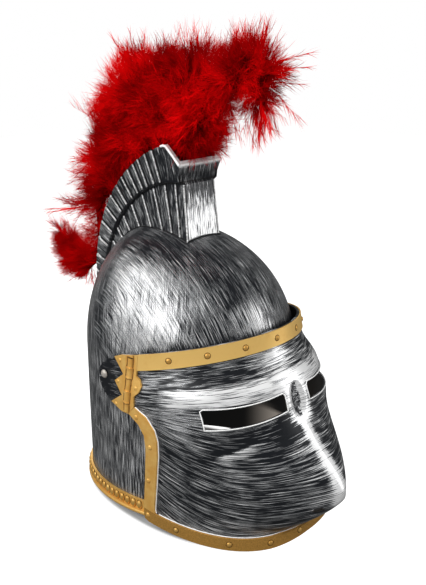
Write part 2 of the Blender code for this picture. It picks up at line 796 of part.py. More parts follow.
def lock(root, tip, radius, sides=9, rings=6):
    """A lock that tapers from its root to its tip."""
    root, tip = np.array(root), np.array(tip)
    along = (tip - root) / np.linalg.norm(tip - root)
    side = np.cross(along, (1.0, 0.0, 0.0))
    side = side / np.linalg.norm(side)
    other = np.cross(along, side)
    sections = []
    for r in range(rings):
        share = r / (rings - 1)
        wide = radius * (1.0 - 0.75 * share**1.3)
        centre = root + (tip - root) * share
        turns = [2.0 * math.pi * k / sides for k in range(sides)]
        sections.append(
            [tuple(centre + (side * math.cos(t) + other * math.sin(t)) * wide) for t in turns]
        )
    return loft(sections)


def make_plume(helmet):
    """Puffs and locks joined to one soft body, cut clear of the crest and the skull."""
    shapes = [puff((0.0, y, z), (hx, hy, hz)) for y, z, hx, hy, hz in PUFFS[1:]]
    for root_y, root_z, tip_x, tip_y, tip_z, radius in LOCKS[1:]:
        shapes.append(lock((0.4 * tip_x, root_y, root_z), (tip_x, tip_y, tip_z), radius))
    plume = add_piece("plume", merge_shapes(shapes), helmet, "feather", smooth_deg=80.0)
    join = plume.modifiers.new("join", "REMESH")
    join.mode = "VOXEL"
    join.voxel_size = PLUME_VOXEL
    thin = plume.modifiers.new("fewer_faces", "DECIMATE")
    thin.ratio = PLUME_SHARE_KEPT
    keep_out = add_helper("crest_keep_out", crest_hull(PLUME_CLEAR), helmet)
    trough = add_helper("plume_trough", crest_channel(PLUME_CLEAR), helmet)
    combine(keep_out, trough, "DIFFERENCE")
    combine(plume, keep_out, "DIFFERENCE")
    clear = add_helper("plume_skull_clearance", skull_volume(GAP + PLUME_CLEAR), helmet)
    combine(plume, clear, "DIFFERENCE")


def crest_hull(grow):
    """The crest's form without its plates, grown, to keep the plume clear of its sides."""
    foot, under, over, top = CREST_HALF_WIDTHS
    front = [(x + grow + RIB_RAISED, y - grow, z) for x, y, z in CREST_FRONT[1:]]
    sections = [front + [(-x, y, z) for x, y, z in front[::-1]]]
    for deg in [CREST_BEND_DEG, CREST_PEAK_DEG] + list(np.linspace(79.0, CREST_END_DEG - 1.0, 16)):
        thin = crest_narrowing(deg)
        wide = grow + RIB_RAISED
        lip = lip_reach(deg)
        groove = min(arc_reach(deg, GROOVE_ARC), lip - 1.5)
        corners = (
            (foot * thin + wide, 100.0),
            (under * thin + wide, groove - 1.2),
            (over * thin + wide, groove + 0.3),
            (top * thin + wide, lip + grow),
        )
        sections.append(fan_section(deg, corners))
    return loft(sections, mirrored=True)


def make_pivot_rivet(helmet, name, side):
    """A rivet through the skull and the visor's arm: an inner head, a pin and a domed outer head."""
    ring = [(HEAD_RADIUS * math.cos(t), HEAD_RADIUS * math.sin(t)) for t in (0.0, 1.57, 3.14, 4.71)]
    under = 0.35 + max(side_x(PIVOT_Y + dy, PIVOT_Z + dz) for dy, dz in ring)
    inner_from, inner_to, inner_radius = INNER_HEAD
    profile = [(inner_from, inner_radius - 0.4), (inner_from + 0.4, inner_radius)]
    profile += [(inner_to, inner_radius), (inner_to, PIN_RADIUS), (under, PIN_RADIUS)]
    profile += [(under, HEAD_RADIUS)]
    for share in (0.35, 0.7, 0.93):
        profile.append((under + HEAD_HEIGHT * share, HEAD_RADIUS * math.sqrt(1.0 - share**2)))
    sections = []
    for out, radius in profile:
        circle = arc_points((PIVOT_Y, PIVOT_Z), radius, 0.0, 330.0, 12)
        sections.append([(side * out, y, z) for y, z in circle])
    add_piece(name, loft(sections), helmet, "pewter")


def chin_line(y):
    return np.maximum(0.0, CHIN_SLOPE * (y - CHIN_FRONT_Y) - CHIN_FLAT)


def brow_line(y):
    return BROW_SIDE_Z + BROW_SLOPE * y


def row_form(share):
    """Reach, half width, roundness and middle of a row of the visor: 0 at the chin, 1 at the brow."""
    table = np.array(VISOR_SECTIONS[1:])
    height = share * table[-1, 0]
    for _ in range(8):
        reach = smooth_through(table[:, 0], table[:, 1], height)
        low, high = chin_line(-reach), brow_line(-reach)
        height = min(low + (high - low) * share, table[-1, 0])
    half_width = smooth_through(table[:, 0], table[:, 2], height)
    power = smooth_through(table[:, 0], table[:, 3], height)
    middle = CHIN_MIDDLE_Y + (BROW_MIDDLE_Y - CHIN_MIDDLE_Y) * share
    return reach, half_width, power, middle


def beak_push(x, z):
    """How far the beak pushes the face forward: a ridge with straight flanks, steep below its tip."""
    across = np.abs(x) / BEAK_HALF_WIDTH
    up = np.where(z > BEAK_TIP_Z, (z - BEAK_TIP_Z) / BEAK_UP, (BEAK_TIP_Z - z) / BEAK_DOWN)
    far = np.hypot(across, up)
    sideways = across**2 / np.maximum(far**2, 1e-9)
    flank = np.maximum(0.0, 1.0 - far) ** BEAK_SIDE_POWER
    above = 0.5 * (1.0 + np.cos(math.pi * np.minimum(far, 1.0)))
    below = np.maximum(0.0, 1.0 - far**BEAK_UNDER_POWER)
    rise = np.where(z > BEAK_TIP_Z, above, below)
    push = BEAK_REACH * (sideways * flank + (1.0 - sideways) * rise)
    ridge = ease((z - BEAK_TIP_Z) / 8.0) * ease((RECESS_BOTTOM_Z - z) / 8.0)
    push = push + RIDGE_PROUD * ridge * np.exp(-np.abs(x) / RIDGE_WIDTH)
    along = (z - RECESS_BOTTOM_Z) / (RECESS_TOP_Z - RECESS_BOTTOM_Z)
    leaf = np.clip(4.0 * along * (1.0 - along), 0.0, 1.0) ** 0.6
    groove = np.maximum(0.0, leaf - np.abs(x) / RECESS_HALF_WIDTH)
    return push - RECESS_DEEP * groove


def temple_in(y):
    """The visor's sides draw in towards the pivots."""
    return TEMPLE_IN * ease((y - TEMPLE_FROM_Y) / (TEMPLE_TO_Y - TEMPLE_FROM_Y))


def visor_row(share, spread):
    """Points of one row on the wearer's left, from the middle of the face back to the arm."""
    reach, half_width, power, middle = row_form(share)
    turn = np.linspace(0.0, 0.62 * math.pi, 1500)
    ahead = np.abs(np.cos(turn)) ** (2.0 / power)
    x = half_width * np.sin(turn) ** (2.0 / power)
    y = np.where(turn < 0.5 * math.pi, middle - (reach + middle) * ahead, middle + BACK_LENGTH * ahead)
    run = np.concatenate([[0.0], np.cumsum(np.hypot(np.diff(x), np.diff(y)))])
    whole = float(np.interp(VISOR_END_Y, y, run))
    where = spread(whole)
    x, y = np.interp(where, run, x), np.interp(where, run, y)
    z = chin_line(y) + (brow_line(y) - chin_line(y)) * share
    return np.stack([x - temple_in(y), y - beak_push(x, z), z], -1)


def column_spread(whole):
    """Distances from the middle: close together on the beak's ridge, then even."""
    near = np.array(COLUMN_STARTS)
    return np.concatenate([near, np.linspace(near[-1], whole, EVEN_COLUMNS + 1)[1:]])


def visor_grid(shares):
    """All rows, from the wearer's right to the left, and the outward directions at their points."""
    left = np.array([visor_row(share, column_spread) for share in shares])
    right = left[:, :0:-1] * (-1.0, 1.0, 1.0)
    grid = np.concatenate([right, left], axis=1)
    out = np.cross(np.gradient(grid, axis=1), np.gradient(grid, axis=0))
    return grid, out / np.linalg.norm(out, axis=-1, keepdims=True)


def visor_layer(from_out, to_out):
    """A closed layer that follows the visor's face between two distances from it."""
    grid, out = visor_grid(ROW_SHARES)
    faces = []
    for distance in (to_out, from_out):
        face = grid + out * distance
        face[..., 2] = np.maximum(face[..., 2], 0.0)
        faces.append(face)
    return sheet_solid(faces[0], faces[1])


def side_x(y, z):
    """Half width of the visor at a point of its side view."""
    share = (z - chin_line(y)) / (brow_line(y) - chin_line(y))
    reach, half_width, power, middle = row_form(float(np.clip(share, 0.0, 1.0)))
    length = reach + middle if y < middle else BACK_LENGTH
    part = min(1.0, abs((y - middle) / length))
    return half_width * (1.0 - part**power) ** (1.0 / power) - temple_in(y)


def on_side(side, y, z):
    """A point on the visor's side and the outward direction there."""
    step = 1.0
    slope_y = (side_x(y + step, z) - side_x(y - step, z)) / (2.0 * step)
    slope_z = (side_x(y, z + step) - side_x(y, z - step)) / (2.0 * step)
    out = np.array((side, -slope_y, -slope_z))
    return np.array((side * side_x(y, z), y, z)), out / np.linalg.norm(out)


def on_row(distance, share):
    """A point at a distance round the visor from its middle and the outward direction there."""
    side = 1.0 if distance > 0.0 else -1.0
    step = 2.0
    rows = []
    for near in (share - 0.01, share, share + 0.01):
        points = visor_row(near, lambda whole: abs(distance) + np.array((-step, 0.0, step)))
        rows.append(points * (side, 1.0, 1.0))
    out = np.cross((rows[1][2] - rows[1][0]) * side, rows[2][1] - rows[0][1])
    return rows[1][1], out / np.linalg.norm(out)


def band_rivets(distances, share_at):
    domes = []
    for distance in distances:
        point = on_row(distance, share_at(-100.0))[0]
        point, out = on_row(distance, share_at(point[1]))
        domes.append(dome(point + out * (GAP + BAND_THICK), out, RIVET_RADIUS, RIVET_HEIGHT, RIVET_SIDES))
    return domes


def side_rivets(side, table):
    domes = []
    for y, z in table[1:]:
        point, out = on_side(side, y, z)
        domes.append(dome(point + out * (GAP + BAND_THICK), out, RIVET_RADIUS, RIVET_HEIGHT, RIVET_SIDES))
    return domes


def make_band(name, visor, outline, sides, domes):
    """A gold trim: the part of a thin layer over the visor that lies in a side-view outline."""
    band = add_piece(name, visor_layer(GAP, GAP + BAND_THICK), visor, "gold")
    low, high = sides
    combine(band, add_helper(name + "_outline", prism_x(outline, low, high), visor), "INTERSECT")
    if domes:
        combine(band, add_helper(name + "_rivets", merge_shapes(domes), visor), "UNION")
    return band


def side_range(side):
    """How far across a cutter reaches when it is for one side only."""
    return (60.0, 140.0) if side > 0.0 else (-140.0, -60.0)


def rear_edge():
    """The visor's rear edge from the chin up to the brow, in the side view."""
    return [*CHEEK_REAR[1:], *ARM_EDGE[1:]]


def make_visor_shell(visor):
    shell = add_piece("visor_shell", visor_layer(-VISOR_WALL, 0.0), visor, "silver", smooth_deg=50.0)
    outline = [*REAR_CORNER[1:], *rear_edge(), (-26.0, 181.4)]
    outline += [(-30.0, 230.0), (90.0, 230.0), (90.0, -30.0)]
    combine(shell, add_helper("rear_cutter", prism_x(outline, *BOTH_SIDES), visor), "DIFFERENCE")
    for side, name in ((1.0, "left"), (-1.0, "right")):
        slit = prism_y([(side * x, z) for x, z in SLIT[1:]], -220.0, -60.0)
        combine(shell, add_helper("slit_cutter_" + name, slit, visor), "DIFFERENCE")
        hole = arc_points((side * BREATH_X, BREATH_Z), (BREATH_LONG, BREATH_SHORT), 0.0, 330.0, 12)
        cutter = add_helper("breath_cutter_" + name, prism_y(hole, -230.0, -100.0), visor)
        combine(shell, cutter, "DIFFERENCE")
    bore = tube((-130.0, PIVOT_Y, PIVOT_Z), (130.0, PIVOT_Y, PIVOT_Z), PIN_RADIUS + PIN_PLAY, 16)
    combine(shell, add_helper("arm_pin_cutter", bore, visor), "DIFFERENCE")


def brow_share(y):
    """The row at the middle of the brow band's height."""
    return 1.0 - 0.5 * BROW_BAND_HEIGHT / (brow_line(y) - chin_line(y))


def chin_share(y):
    """The row at the middle of the chin band's height."""
    return 0.5 * CHIN_BAND_HEIGHT / (brow_line(y) - chin_line(y))


def make_brow_band(visor):
    """Along the upper edge, ending where the hinges begin."""
    high_y, high_z, low_y = BROW_BAND_END
    front = -200.0
    outline = [(high_y, high_z + 30.0), (high_y, high_z)]
    outline += [(low_y, brow_line(low_y) - BROW_BAND_HEIGHT)]
    outline += [(front, brow_line(front) - BROW_BAND_HEIGHT), (front, 260.0)]
    make_band("brow_band", visor, outline, BOTH_SIDES, band_rivets(BROW_RIVETS, brow_share))


def make_chin_band(visor):
    """Along the lower edge, with rounded rear corners."""
    heights = [(y, float(chin_line(y)) + CHIN_BAND_HEIGHT) for y in (-43.0, -100.0, -146.0, -230.0)]
    outline = [(-230.0, -30.0), *REAR_CORNER[1:], CHEEK_REAR[1]]
    outline += [(-42.4, heights[0][1]), *heights[1:]]
    domes = band_rivets(CHIN_RIVETS, chin_share)
    domes += side_rivets(1.0, CORNER_RIVETS) + side_rivets(-1.0, CORNER_RIVETS)
    make_band("chin_band", visor, outline, BOTH_SIDES, domes)


def make_cheek_band(visor, name, side):
    foot = [(y, float(chin_line(y)) + CHIN_BAND_HEIGHT + 0.4) for y in (-42.4, -57.0)]
    outline = [(-26.5, 123.2), *CHEEK_FRONT[1:], (-55.6, foot[1][1]), foot[0]]
    outline += [*CHEEK_REAR[2:]]
    domes = side_rivets(side, CHEEK_RIVETS)
    make_band(name, visor, outline, side_range(side), domes)


def half_round(side, start, end, radius, proud):
    """Half a bar that lies on the visor's side, between two points of the side view."""
    start, end = np.array(start), np.array(end)
    sections = []
    for share in np.linspace(0.0, 1.0, 3):
        y, z = start + (end - start) * share
        point, out = on_side(side, y, z)
        along = np.array((0.0, *(end - start))) / np.linalg.norm(end - start)
        across = np.cross(out, along)
        low = point + out * (GAP + 0.2)
        sections.append(
            [
                tuple(low + across * radius * math.cos(t) + out * (BAND_THICK + proud) * math.sin(t))
                for t in np.linspace(0.0, math.pi, 7)
            ]
        )
    return loft(sections)


def make_hinge(visor, name, side):
    """The gold hinge ornament: a pointed leaf, a round leaf, a barrel and two knuckles."""
    domes = side_rivets(side, LEAF_RIVETS)
    hinge = make_band(name, visor, list(HINGE_OUTLINE[1:]), side_range(side), domes)
    barrel = half_round(side, BARREL_TOP, BARREL_FOOT, BARREL_RADIUS, BARREL_PROUD)
    combine(hinge, add_helper(name + "_barrel", barrel, visor), "UNION")
    top, foot = np.array(BARREL_TOP), np.array(BARREL_FOOT)
    grown = BARREL_RADIUS + KNUCKLE_GROWTH
    for number, (first, last) in enumerate(KNUCKLES[1:]):
        start, end = top + (foot - top) * first, top + (foot - top) * last
        knuckle = half_round(side, start, end, grown, BARREL_PROUD + KNUCKLE_GROWTH)
        combine(hinge, add_helper(f"{name}_knuckle_{number + 1}", knuckle, visor), "UNION")


def build_helmet():
    helmet = body_empty("helmet", 0.0, 0.0)
    make_skull(helmet)
    make_rim_band(helmet)
    make_crest(helmet)
    make_plume(helmet)
    make_pivot_rivet(helmet, "pivot_rivet_right", -1.0)
    make_pivot_rivet(helmet, "pivot_rivet_left", 1.0)


def build_visor():
    visor = body_empty("visor", PIVOT_Y, PIVOT_Z)
    make_visor_shell(visor)
    make_brow_band(visor)
    make_chin_band(visor)
    for name, side in (("right", -1.0), ("left", 1.0)):
        make_cheek_band(visor, "cheek_band_" + name, side)
        make_hinge(visor, "hinge_" + name, side)


def main():
    clear_scene()
    build_helmet()
    build_visor()


main()
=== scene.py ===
# %% [markdown]
# Cavalry helmet
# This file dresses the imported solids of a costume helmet: a skull, a hinged visor with a beak, gold
# bands, a ribbed crest and a plume of red down. Each piece here is the same form, made finer and painted.
# Lengths are in millimetres round the head, with Z up and the face towards -Y. They become metres when a
# mesh is made.

import math

import bmesh
import bpy
import numpy as np
from mathutils import Matrix, Vector


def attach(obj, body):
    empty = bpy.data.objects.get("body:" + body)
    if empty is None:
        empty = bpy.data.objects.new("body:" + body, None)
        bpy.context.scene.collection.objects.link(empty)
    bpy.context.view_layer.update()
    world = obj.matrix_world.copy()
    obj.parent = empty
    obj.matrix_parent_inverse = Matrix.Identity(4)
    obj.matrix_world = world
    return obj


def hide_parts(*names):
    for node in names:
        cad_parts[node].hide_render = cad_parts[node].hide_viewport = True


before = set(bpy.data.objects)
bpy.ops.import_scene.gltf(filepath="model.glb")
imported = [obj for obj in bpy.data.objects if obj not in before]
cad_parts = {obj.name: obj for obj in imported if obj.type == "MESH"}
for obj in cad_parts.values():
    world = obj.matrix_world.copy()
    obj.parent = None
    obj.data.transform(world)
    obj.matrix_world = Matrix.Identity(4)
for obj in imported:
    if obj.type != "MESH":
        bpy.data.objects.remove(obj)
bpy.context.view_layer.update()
MM = 0.001  # metres in a millimetre
PLACE_Y = -7.6  # the head's middle lies this far in front of the frame's
GAP = 0.45  # clear space between two neighbouring pieces

# %% [markdown]
# Camera
# The photograph looks down a little on the wearer's right side. Its direction, tilt and lens were found
# by matching the helmet's outline. A constraint could aim the camera, but its matrix also holds the small
# roll: the matrix's columns are the camera's right, its up and its backward direction.

# %% Set the camera
PHOTO_HIGH = 585
VIEW_TURN_DEG = -46.09
VIEW_DOWN_DEG = 17.34
VIEW_ROLL_DEG = -0.90
LENS = 47.36
SENSOR_WIDTH = 36.0
CAMERA_PLACE = (-0.5287, -0.5405, 0.4529)
SHIFT_PIXELS = (6.74, -8.39)


def add_object(name, data):
    """A new object in the scene, at the origin."""
    made = bpy.data.objects.new(name, data)
    bpy.context.scene.collection.objects.link(made)
    return made


def place_camera():
    turn, down, roll = (math.radians(v) for v in (VIEW_TURN_DEG, VIEW_DOWN_DEG, VIEW_ROLL_DEG))
    back = Vector((math.sin(turn) * math.cos(down), -math.cos(turn) * math.cos(down), math.sin(down)))
    right = Vector((math.cos(turn), math.sin(turn), 0.0))
    up = back.cross(right)
    rolled_right = right * math.cos(roll) + up * math.sin(roll)
    rolled_up = up * math.cos(roll) - right * math.sin(roll)
    lens = bpy.data.cameras.new("photo_camera")
    lens.lens = LENS
    lens.sensor_width = SENSOR_WIDTH
    lens.shift_x = SHIFT_PIXELS[0] / PHOTO_HIGH
    lens.shift_y = SHIFT_PIXELS[1] / PHOTO_HIGH
    camera = add_object("photo_camera", lens)
    axes = Matrix((rolled_right, rolled_up, back)).transposed().to_4x4()
    camera.matrix_world = Matrix.Translation(CAMERA_PLACE) @ axes
    bpy.context.scene.camera = camera
    print("The camera is", round(camera.location.length, 3), "metres from the helmet's foot")


place_camera()

# %% [markdown]
# Plain meshes
# A piece can be modelled by hand, or worked out as a list of points and faces. The hard pieces here are
# worked out, because their forms follow rules. Modifiers are applied at once, so that each piece ends as a
# plain mesh with its object at the origin.

# %% Turn points and faces into a piece


def to_world(points):
    """Head millimetres become metres in the frame."""
    return (np.asarray(points, float) + (0.0, PLACE_Y, 0.0)) * MM


def new_piece(name, points, faces):
    """A mesh object from points in head millimetres, with its faces turned outwards."""
    mesh = bpy.data.meshes.new(name)
    mesh.from_pydata(to_world(points).tolist(), [], faces)
    mesh.validate()
    shape = bmesh.new()
    shape.from_mesh(mesh)
    bmesh.ops.recalc_face_normals(shape, faces=shape.faces)
    shape.to_mesh(mesh)
    shape.free()
    return add_object(name, mesh)


def keep_as_mesh(piece):
    """What the modifiers show becomes the piece's own mesh, and the modifiers go."""
    bpy.context.view_layer.update()
    graph = bpy.context.evaluated_depsgraph_get()
    made = bpy.data.meshes.new_from_object(piece.evaluated_get(graph))
    piece.modifiers.clear()
    piece.data = made


def cut(piece, operation, solids):
    """Applies one Boolean for each closed solid, which is given as its points and faces."""
    helpers = []
    for number, solid in enumerate(solids):
        helper = new_piece(f"{piece.name}_helper_{number}", *solid)
        boolean = piece.modifiers.new(helper.name, "BOOLEAN")
        boolean.operation = operation
        boolean.object = helper
        boolean.solver = "EXACT"
        helpers.append(helper)
    keep_as_mesh(piece)
    for helper in helpers:
        bpy.data.objects.remove(helper)


# %% [markdown]
# Paint data and finishing
# A material can read numbers that are stored on the mesh. The paint is worked out for each corner of each
# face, because a corner also knows which way its face looks: the same point can be bright outside and black
# inside. Finishing shades and paints a piece, says which body it rides on and hides the packed solid it
# stands for.

# %% Read a piece, store values on it and finish it


def ease(x):
    """0 to 1, level at both ends."""
    x = np.clip(x, 0.0, 1.0)
    return x * x * (3.0 - 2.0 * x)


def head_points(piece):
    """The piece's vertices in head millimetres."""
    flat = np.empty(3 * len(piece.data.vertices))
    piece.data.vertices.foreach_get("co", flat)
    return flat.reshape(-1, 3) / MM - (0.0, PLACE_Y, 0.0)


def corners_of(piece):
    """For each corner of each face: its place in head millimetres and the face's own direction."""
    mesh = piece.data
    vertex = np.empty(len(mesh.loops), int)
    mesh.loops.foreach_get("vertex_index", vertex)
    sizes = np.array([len(p.vertices) for p in mesh.polygons])
    facing = np.empty(3 * len(mesh.polygons))
    mesh.polygons.foreach_get("normal", facing)
    return head_points(piece)[vertex], np.repeat(facing.reshape(-1, 3), sizes, axis=0)


def store(piece, name, values):
    """Keeps a number or a vector for each vertex, or for each face corner."""
    values = np.asarray(values, np.float32)
    kind, field = ("FLOAT", "value") if values.ndim == 1 else ("FLOAT_VECTOR", "vector")
    where = "POINT" if len(values) == len(piece.data.vertices) else "CORNER"
    kept = piece.data.attributes.new(name, kind, where)
    kept.data.foreach_set(field, values.ravel())


def finish_piece(piece, material, smooth_deg, body, node=None):
    """Smooth shading, the paint, the body it rides on and the solid it stands for."""
    piece.data.materials.clear()
    piece.data.materials.append(material)
    piece.data.shade_smooth()
    piece.data.set_sharp_from_angle(angle=math.radians(smooth_deg))
    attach(piece, body)
    if node:
        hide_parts(node)
    print(piece.name, "has", sum(len(p.vertices) - 2 for p in piece.data.polygons), "triangles")


# %% [markdown]
# Closed solids
# Three kinds of solid make the hard pieces. A wall is two sheets of points that are joined along their
# edges, a loft goes through closed sections, and a prism is an outline drawn out in one direction.

# %% Build closed solids


def sheet_solid(outer, inner):
    """A closed wall between two grids of points."""
    rows, cols = outer.shape[:2]
    points = np.concatenate([outer.reshape(-1, 3), inner.reshape(-1, 3)])
    behind = rows * cols
    faces = []
    for r in range(rows - 1):
        for c in range(cols - 1):
            a = r * cols + c
            faces.append((a, a + 1, a + 1 + cols, a + cols))
            faces.append((behind + a + cols, behind + a + 1 + cols, behind + a + 1, behind + a))
    border = list(range(cols)) + [r * cols + cols - 1 for r in range(1, rows)]
    border += [(rows - 1) * cols + c for c in range(cols - 2, -1, -1)]
    border += [r * cols for r in range(rows - 2, 0, -1)]
    for a, b in zip(border, border[1:] + border[:1]):
        faces.append((b, a, behind + a, behind + b))
    return points, faces


def loft(sections, mirrored=False):
    """A closed solid through closed sections with as many points each. Mirrored ones get level caps."""
    count = len(sections[0])
    points = [tuple(p) for section in sections for p in section]
    last = (len(sections) - 1) * count
    faces = []
    for s in range(len(sections) - 1):
        for i in range(count):
            a, b = s * count + i, s * count + (i + 1) % count
            faces.append((a, b, b + count, a + count))
    if not mirrored:
        return points, faces + [tuple(range(count)), tuple(last + i for i in range(count))[::-1]]
    for i in range(count // 2 - 1):
        strip = (i, i + 1, count - 2 - i, count - 1 - i)
        faces += [strip, tuple(last + k for k in strip[::-1])]
    return points, faces


def prism(outline, axis, low, high):
    """A side-view (axis 0) or front-view (axis 1) outline drawn out along that axis."""
    ends = []
    for level in (low, high):
        if axis == 0:
            ends.append([(level, across, z) for across, z in outline])
        else:
            ends.append([(across, level, z) for across, z in outline])
    return loft(ends)


def circle(centre, radii, count):
    turns = [2.0 * math.pi * k / count for k in range(count)]
    return [(centre[0] + radii[0] * math.cos(t), centre[1] + radii[1] * math.sin(t)) for t in turns]


# %% [markdown]
# Tables
# A form that no formula gives is set by a short table of sections, and a smooth curve runs through its
# rows. Another kind of table lays soft spots: each row is a place, three radii and an amount.

# %% Read the two kinds of table
SPOT_COLUMNS = ("x", "y", "z", "radius_x", "radius_y", "radius_z", "amount")


def smooth_through(xs, ys, x):
    """A smooth curve through a table's rows that doesn't swing past them."""
    step = np.diff(xs)
    rise = np.diff(ys) / step
    slope = np.zeros(len(xs))
    slope[0], slope[-1] = rise[0], rise[-1]
    product = rise[:-1] * rise[1:]
    total = np.where(product > 0, rise[:-1] + rise[1:], 1.0)
    slope[1:-1] = np.where(product > 0, 2.0 * product / total, 0.0)
    i = np.clip(np.searchsorted(xs, x) - 1, 0, len(step) - 1)
    t = (x - xs[i]) / step[i]
    from_start = ys[i] * (1 + 2 * t) * (1 - t) ** 2 + slope[i] * step[i] * t * (1 - t) ** 2
    from_end = ys[i + 1] * t**2 * (3 - 2 * t) + slope[i + 1] * step[i] * t**2 * (t - 1)
    return from_start + from_end


def spots(points, table):
    """Adds up a table's soft spots at each point."""
    total = np.zeros(len(points))
    for x, y, z, radius_x, radius_y, radius_z, amount in table[1:]:
        far = (points - (x, y, z)) / (radius_x, radius_y, radius_z)
        total += amount * np.exp(-np.sum(far**2, axis=1))
    return total


# %% [markdown]
# Finishes
# Every finish is one Principled shader that is fed by noise. Its nodes could be placed by hand in the
# shader editor. A small class with a short call for each kind of node keeps the trees easy to read here.

# %% Define short calls for a material's nodes


class Finish:
    """Short calls that build one material's tree."""

    def __init__(self, name):
        self.material = bpy.data.materials.new(name)
        self.material.use_nodes = True
        self.tree = self.material.node_tree
        self.shader = self.tree.nodes["Principled BSDF"]
        self.place = self.add("TexCoord").outputs["Object"]

    def add(self, kind, settings=(), **inputs):
        made = self.tree.nodes.new("ShaderNode" + kind)
        for key, value in dict(settings).items():
            setattr(made, key, value)
        for key, value in inputs.items():
            self.feed(made.inputs[int(key[1:])] if key[1:].isdigit() else made.inputs[key], value)
        return made

    def feed(self, socket, value):
        if isinstance(value, bpy.types.NodeSocket):
            self.tree.links.new(value, socket)
        else:
            socket.default_value = value

    def set(self, name, value):
        """A number, a colour or a node's output goes to the shader's own socket."""
        self.feed(self.shader.inputs[name], value)

    def math(self, operation, a, b=0.0, c=0.0):
        return self.add("Math", {"operation": operation}, i0=a, i1=b, i2=c).outputs[0]

    def stored(self, name, output="Fac"):
        return self.add("Attribute", {"attribute_name": name}).outputs[output]

    def noise(self, vector, scale, detail, rough):
        """Scale is a number, or one for each axis: how many grains there are in a metre."""
        if isinstance(scale, tuple):
            vector = self.add("Mapping", Vector=vector, Scale=scale).outputs[0]
            scale = 1.0
        made = self.add("TexNoise", Vector=vector, Scale=scale, Detail=detail, Roughness=rough)
        return made.outputs["Fac"]

    def step(self, value, low, high, to_low=0.0, to_high=1.0):
        """Rises smoothly from one level to another between two values."""
        smooth = {"interpolation_type": "SMOOTHSTEP"}
        made = self.add("MapRange", smooth, i0=value, i1=low, i2=high, i3=to_low, i4=to_high)
        return made.outputs[0]

    def mix(self, share, first, second):
        made = self.add("Mix", {"data_type": "RGBA"}, i0=share)
        self.feed(made.inputs[6], first)
        self.feed(made.inputs[7], second)
        return made.outputs[2]

    def bump(self, height, strength, depth):
        made = self.add("Bump", Height=height, Strength=strength, Distance=depth)
        self.set("Normal", made.outputs[0])


# %% [markdown]
# Brushed silver
# The helmet is black plastic with silver brushed on almost dry, so the paint catches only part of it. Each
# painted piece carries a "brush" vector: its first two numbers run across the strokes and its third runs
# along them. Noise that is squeezed across and stretched along then looks like strokes that follow the
# form, as no wrapped picture would. "cover" says how much paint lies on a place, and in some places it is
# raised or lowered as painted highlight and shade.

# %% Define the brushed silver
BLACK = (0.008, 0.009, 0.011, 1.0)
THIN_SILVER = (0.62, 0.63, 0.64, 1.0)
THICK_SILVER = (0.95, 0.95, 0.95, 1.0)
LINING = (0.004, 0.0036, 0.0033, 1.0)
# colour of the painted light on the dark lining
LINING_PAINTED_LIGHT = (0.42, 0.37, 0.32, 1.0)


def brushed_silver(name, stroke_wide, stroke_long, patchy, crossed=False):
    """Silver strokes over black. Stroke sizes are in millimetres. Crossed strokes are a second set."""
    paint = Finish(name)
    dabs = paint.noise(paint.place, 70.0, 2.0, 0.55)
    across, along = 1.0 / (stroke_wide * MM), 1.0 / (stroke_long * MM)
    levels = []
    for prefix in ("", "cross_") if crossed else ("",):
        vector, level = paint.stored(prefix + "brush", "Vector"), paint.stored(prefix + "cover")
        fine = paint.noise(vector, (across, across, along), 1.0, 0.6)
        broad = paint.noise(vector, (across * 0.3, across * 0.3, along * 0.9), 2.0, 0.6)
        value = paint.math("MULTIPLY_ADD", paint.math("SUBTRACT", fine, 0.5), 6.2, level)
        value = paint.math("MULTIPLY_ADD", paint.math("SUBTRACT", broad, 0.5), patchy, value)
        levels.append(paint.math("MULTIPLY_ADD", paint.math("SUBTRACT", dabs, 0.5), 0.9, value))
    paint_level = levels[0]
    if crossed:
        either, both = paint.math("MAXIMUM", *levels), paint.math("MINIMUM", *levels)
        less = paint.math("MULTIPLY", paint.math("SUBTRACT", both, either), paint.stored("weave"))
        paint_level = paint.math("ADD", either, less)
    painted = paint.step(paint_level, 0.18, 0.9)
    thick = paint.step(paint_level, 0.7, 1.6)
    inside = paint.stored("inside")
    colour = paint.mix(painted, BLACK, paint.mix(thick, THIN_SILVER, THICK_SILVER))
    # the lining is mixed towards the colour of painted light where its stored share says
    lining = paint.mix(paint.stored("pale"), LINING, LINING_PAINTED_LIGHT)
    shown = paint.math("MULTIPLY", painted, paint.math("SUBTRACT", 1.0, inside))
    metal = paint.math("MULTIPLY_ADD", thick, -0.5, 0.9)
    paint.set("Base Color", paint.mix(inside, colour, lining))
    paint.set("Metallic", paint.math("MULTIPLY", shown, metal))
    paint.set("Roughness", paint.step(shown, 0.0, 1.0, 0.3, 0.25))
    paint.bump(shown, 0.3, 0.0003)
    return paint.material


# %% [markdown]
# Gold and plain finishes
# The bands are painted a mottled satin gold. A stored number paints brown shade on them, and lighter gold
# as a painted highlight where it is below 0. The other finishes are one colour with a fine grain that
# darkens it in places, because no real surface is quite even.

# %% Define the gold and the plain finishes
GOLD = (0.86, 0.46, 0.105, 1.0)
GOLD_PALE = (1.0, 0.64, 0.2, 1.0)
# the brown of painted shade on the gold
PAINTED_SHADE_BROWN = (0.07, 0.028, 0.008, 1.0)


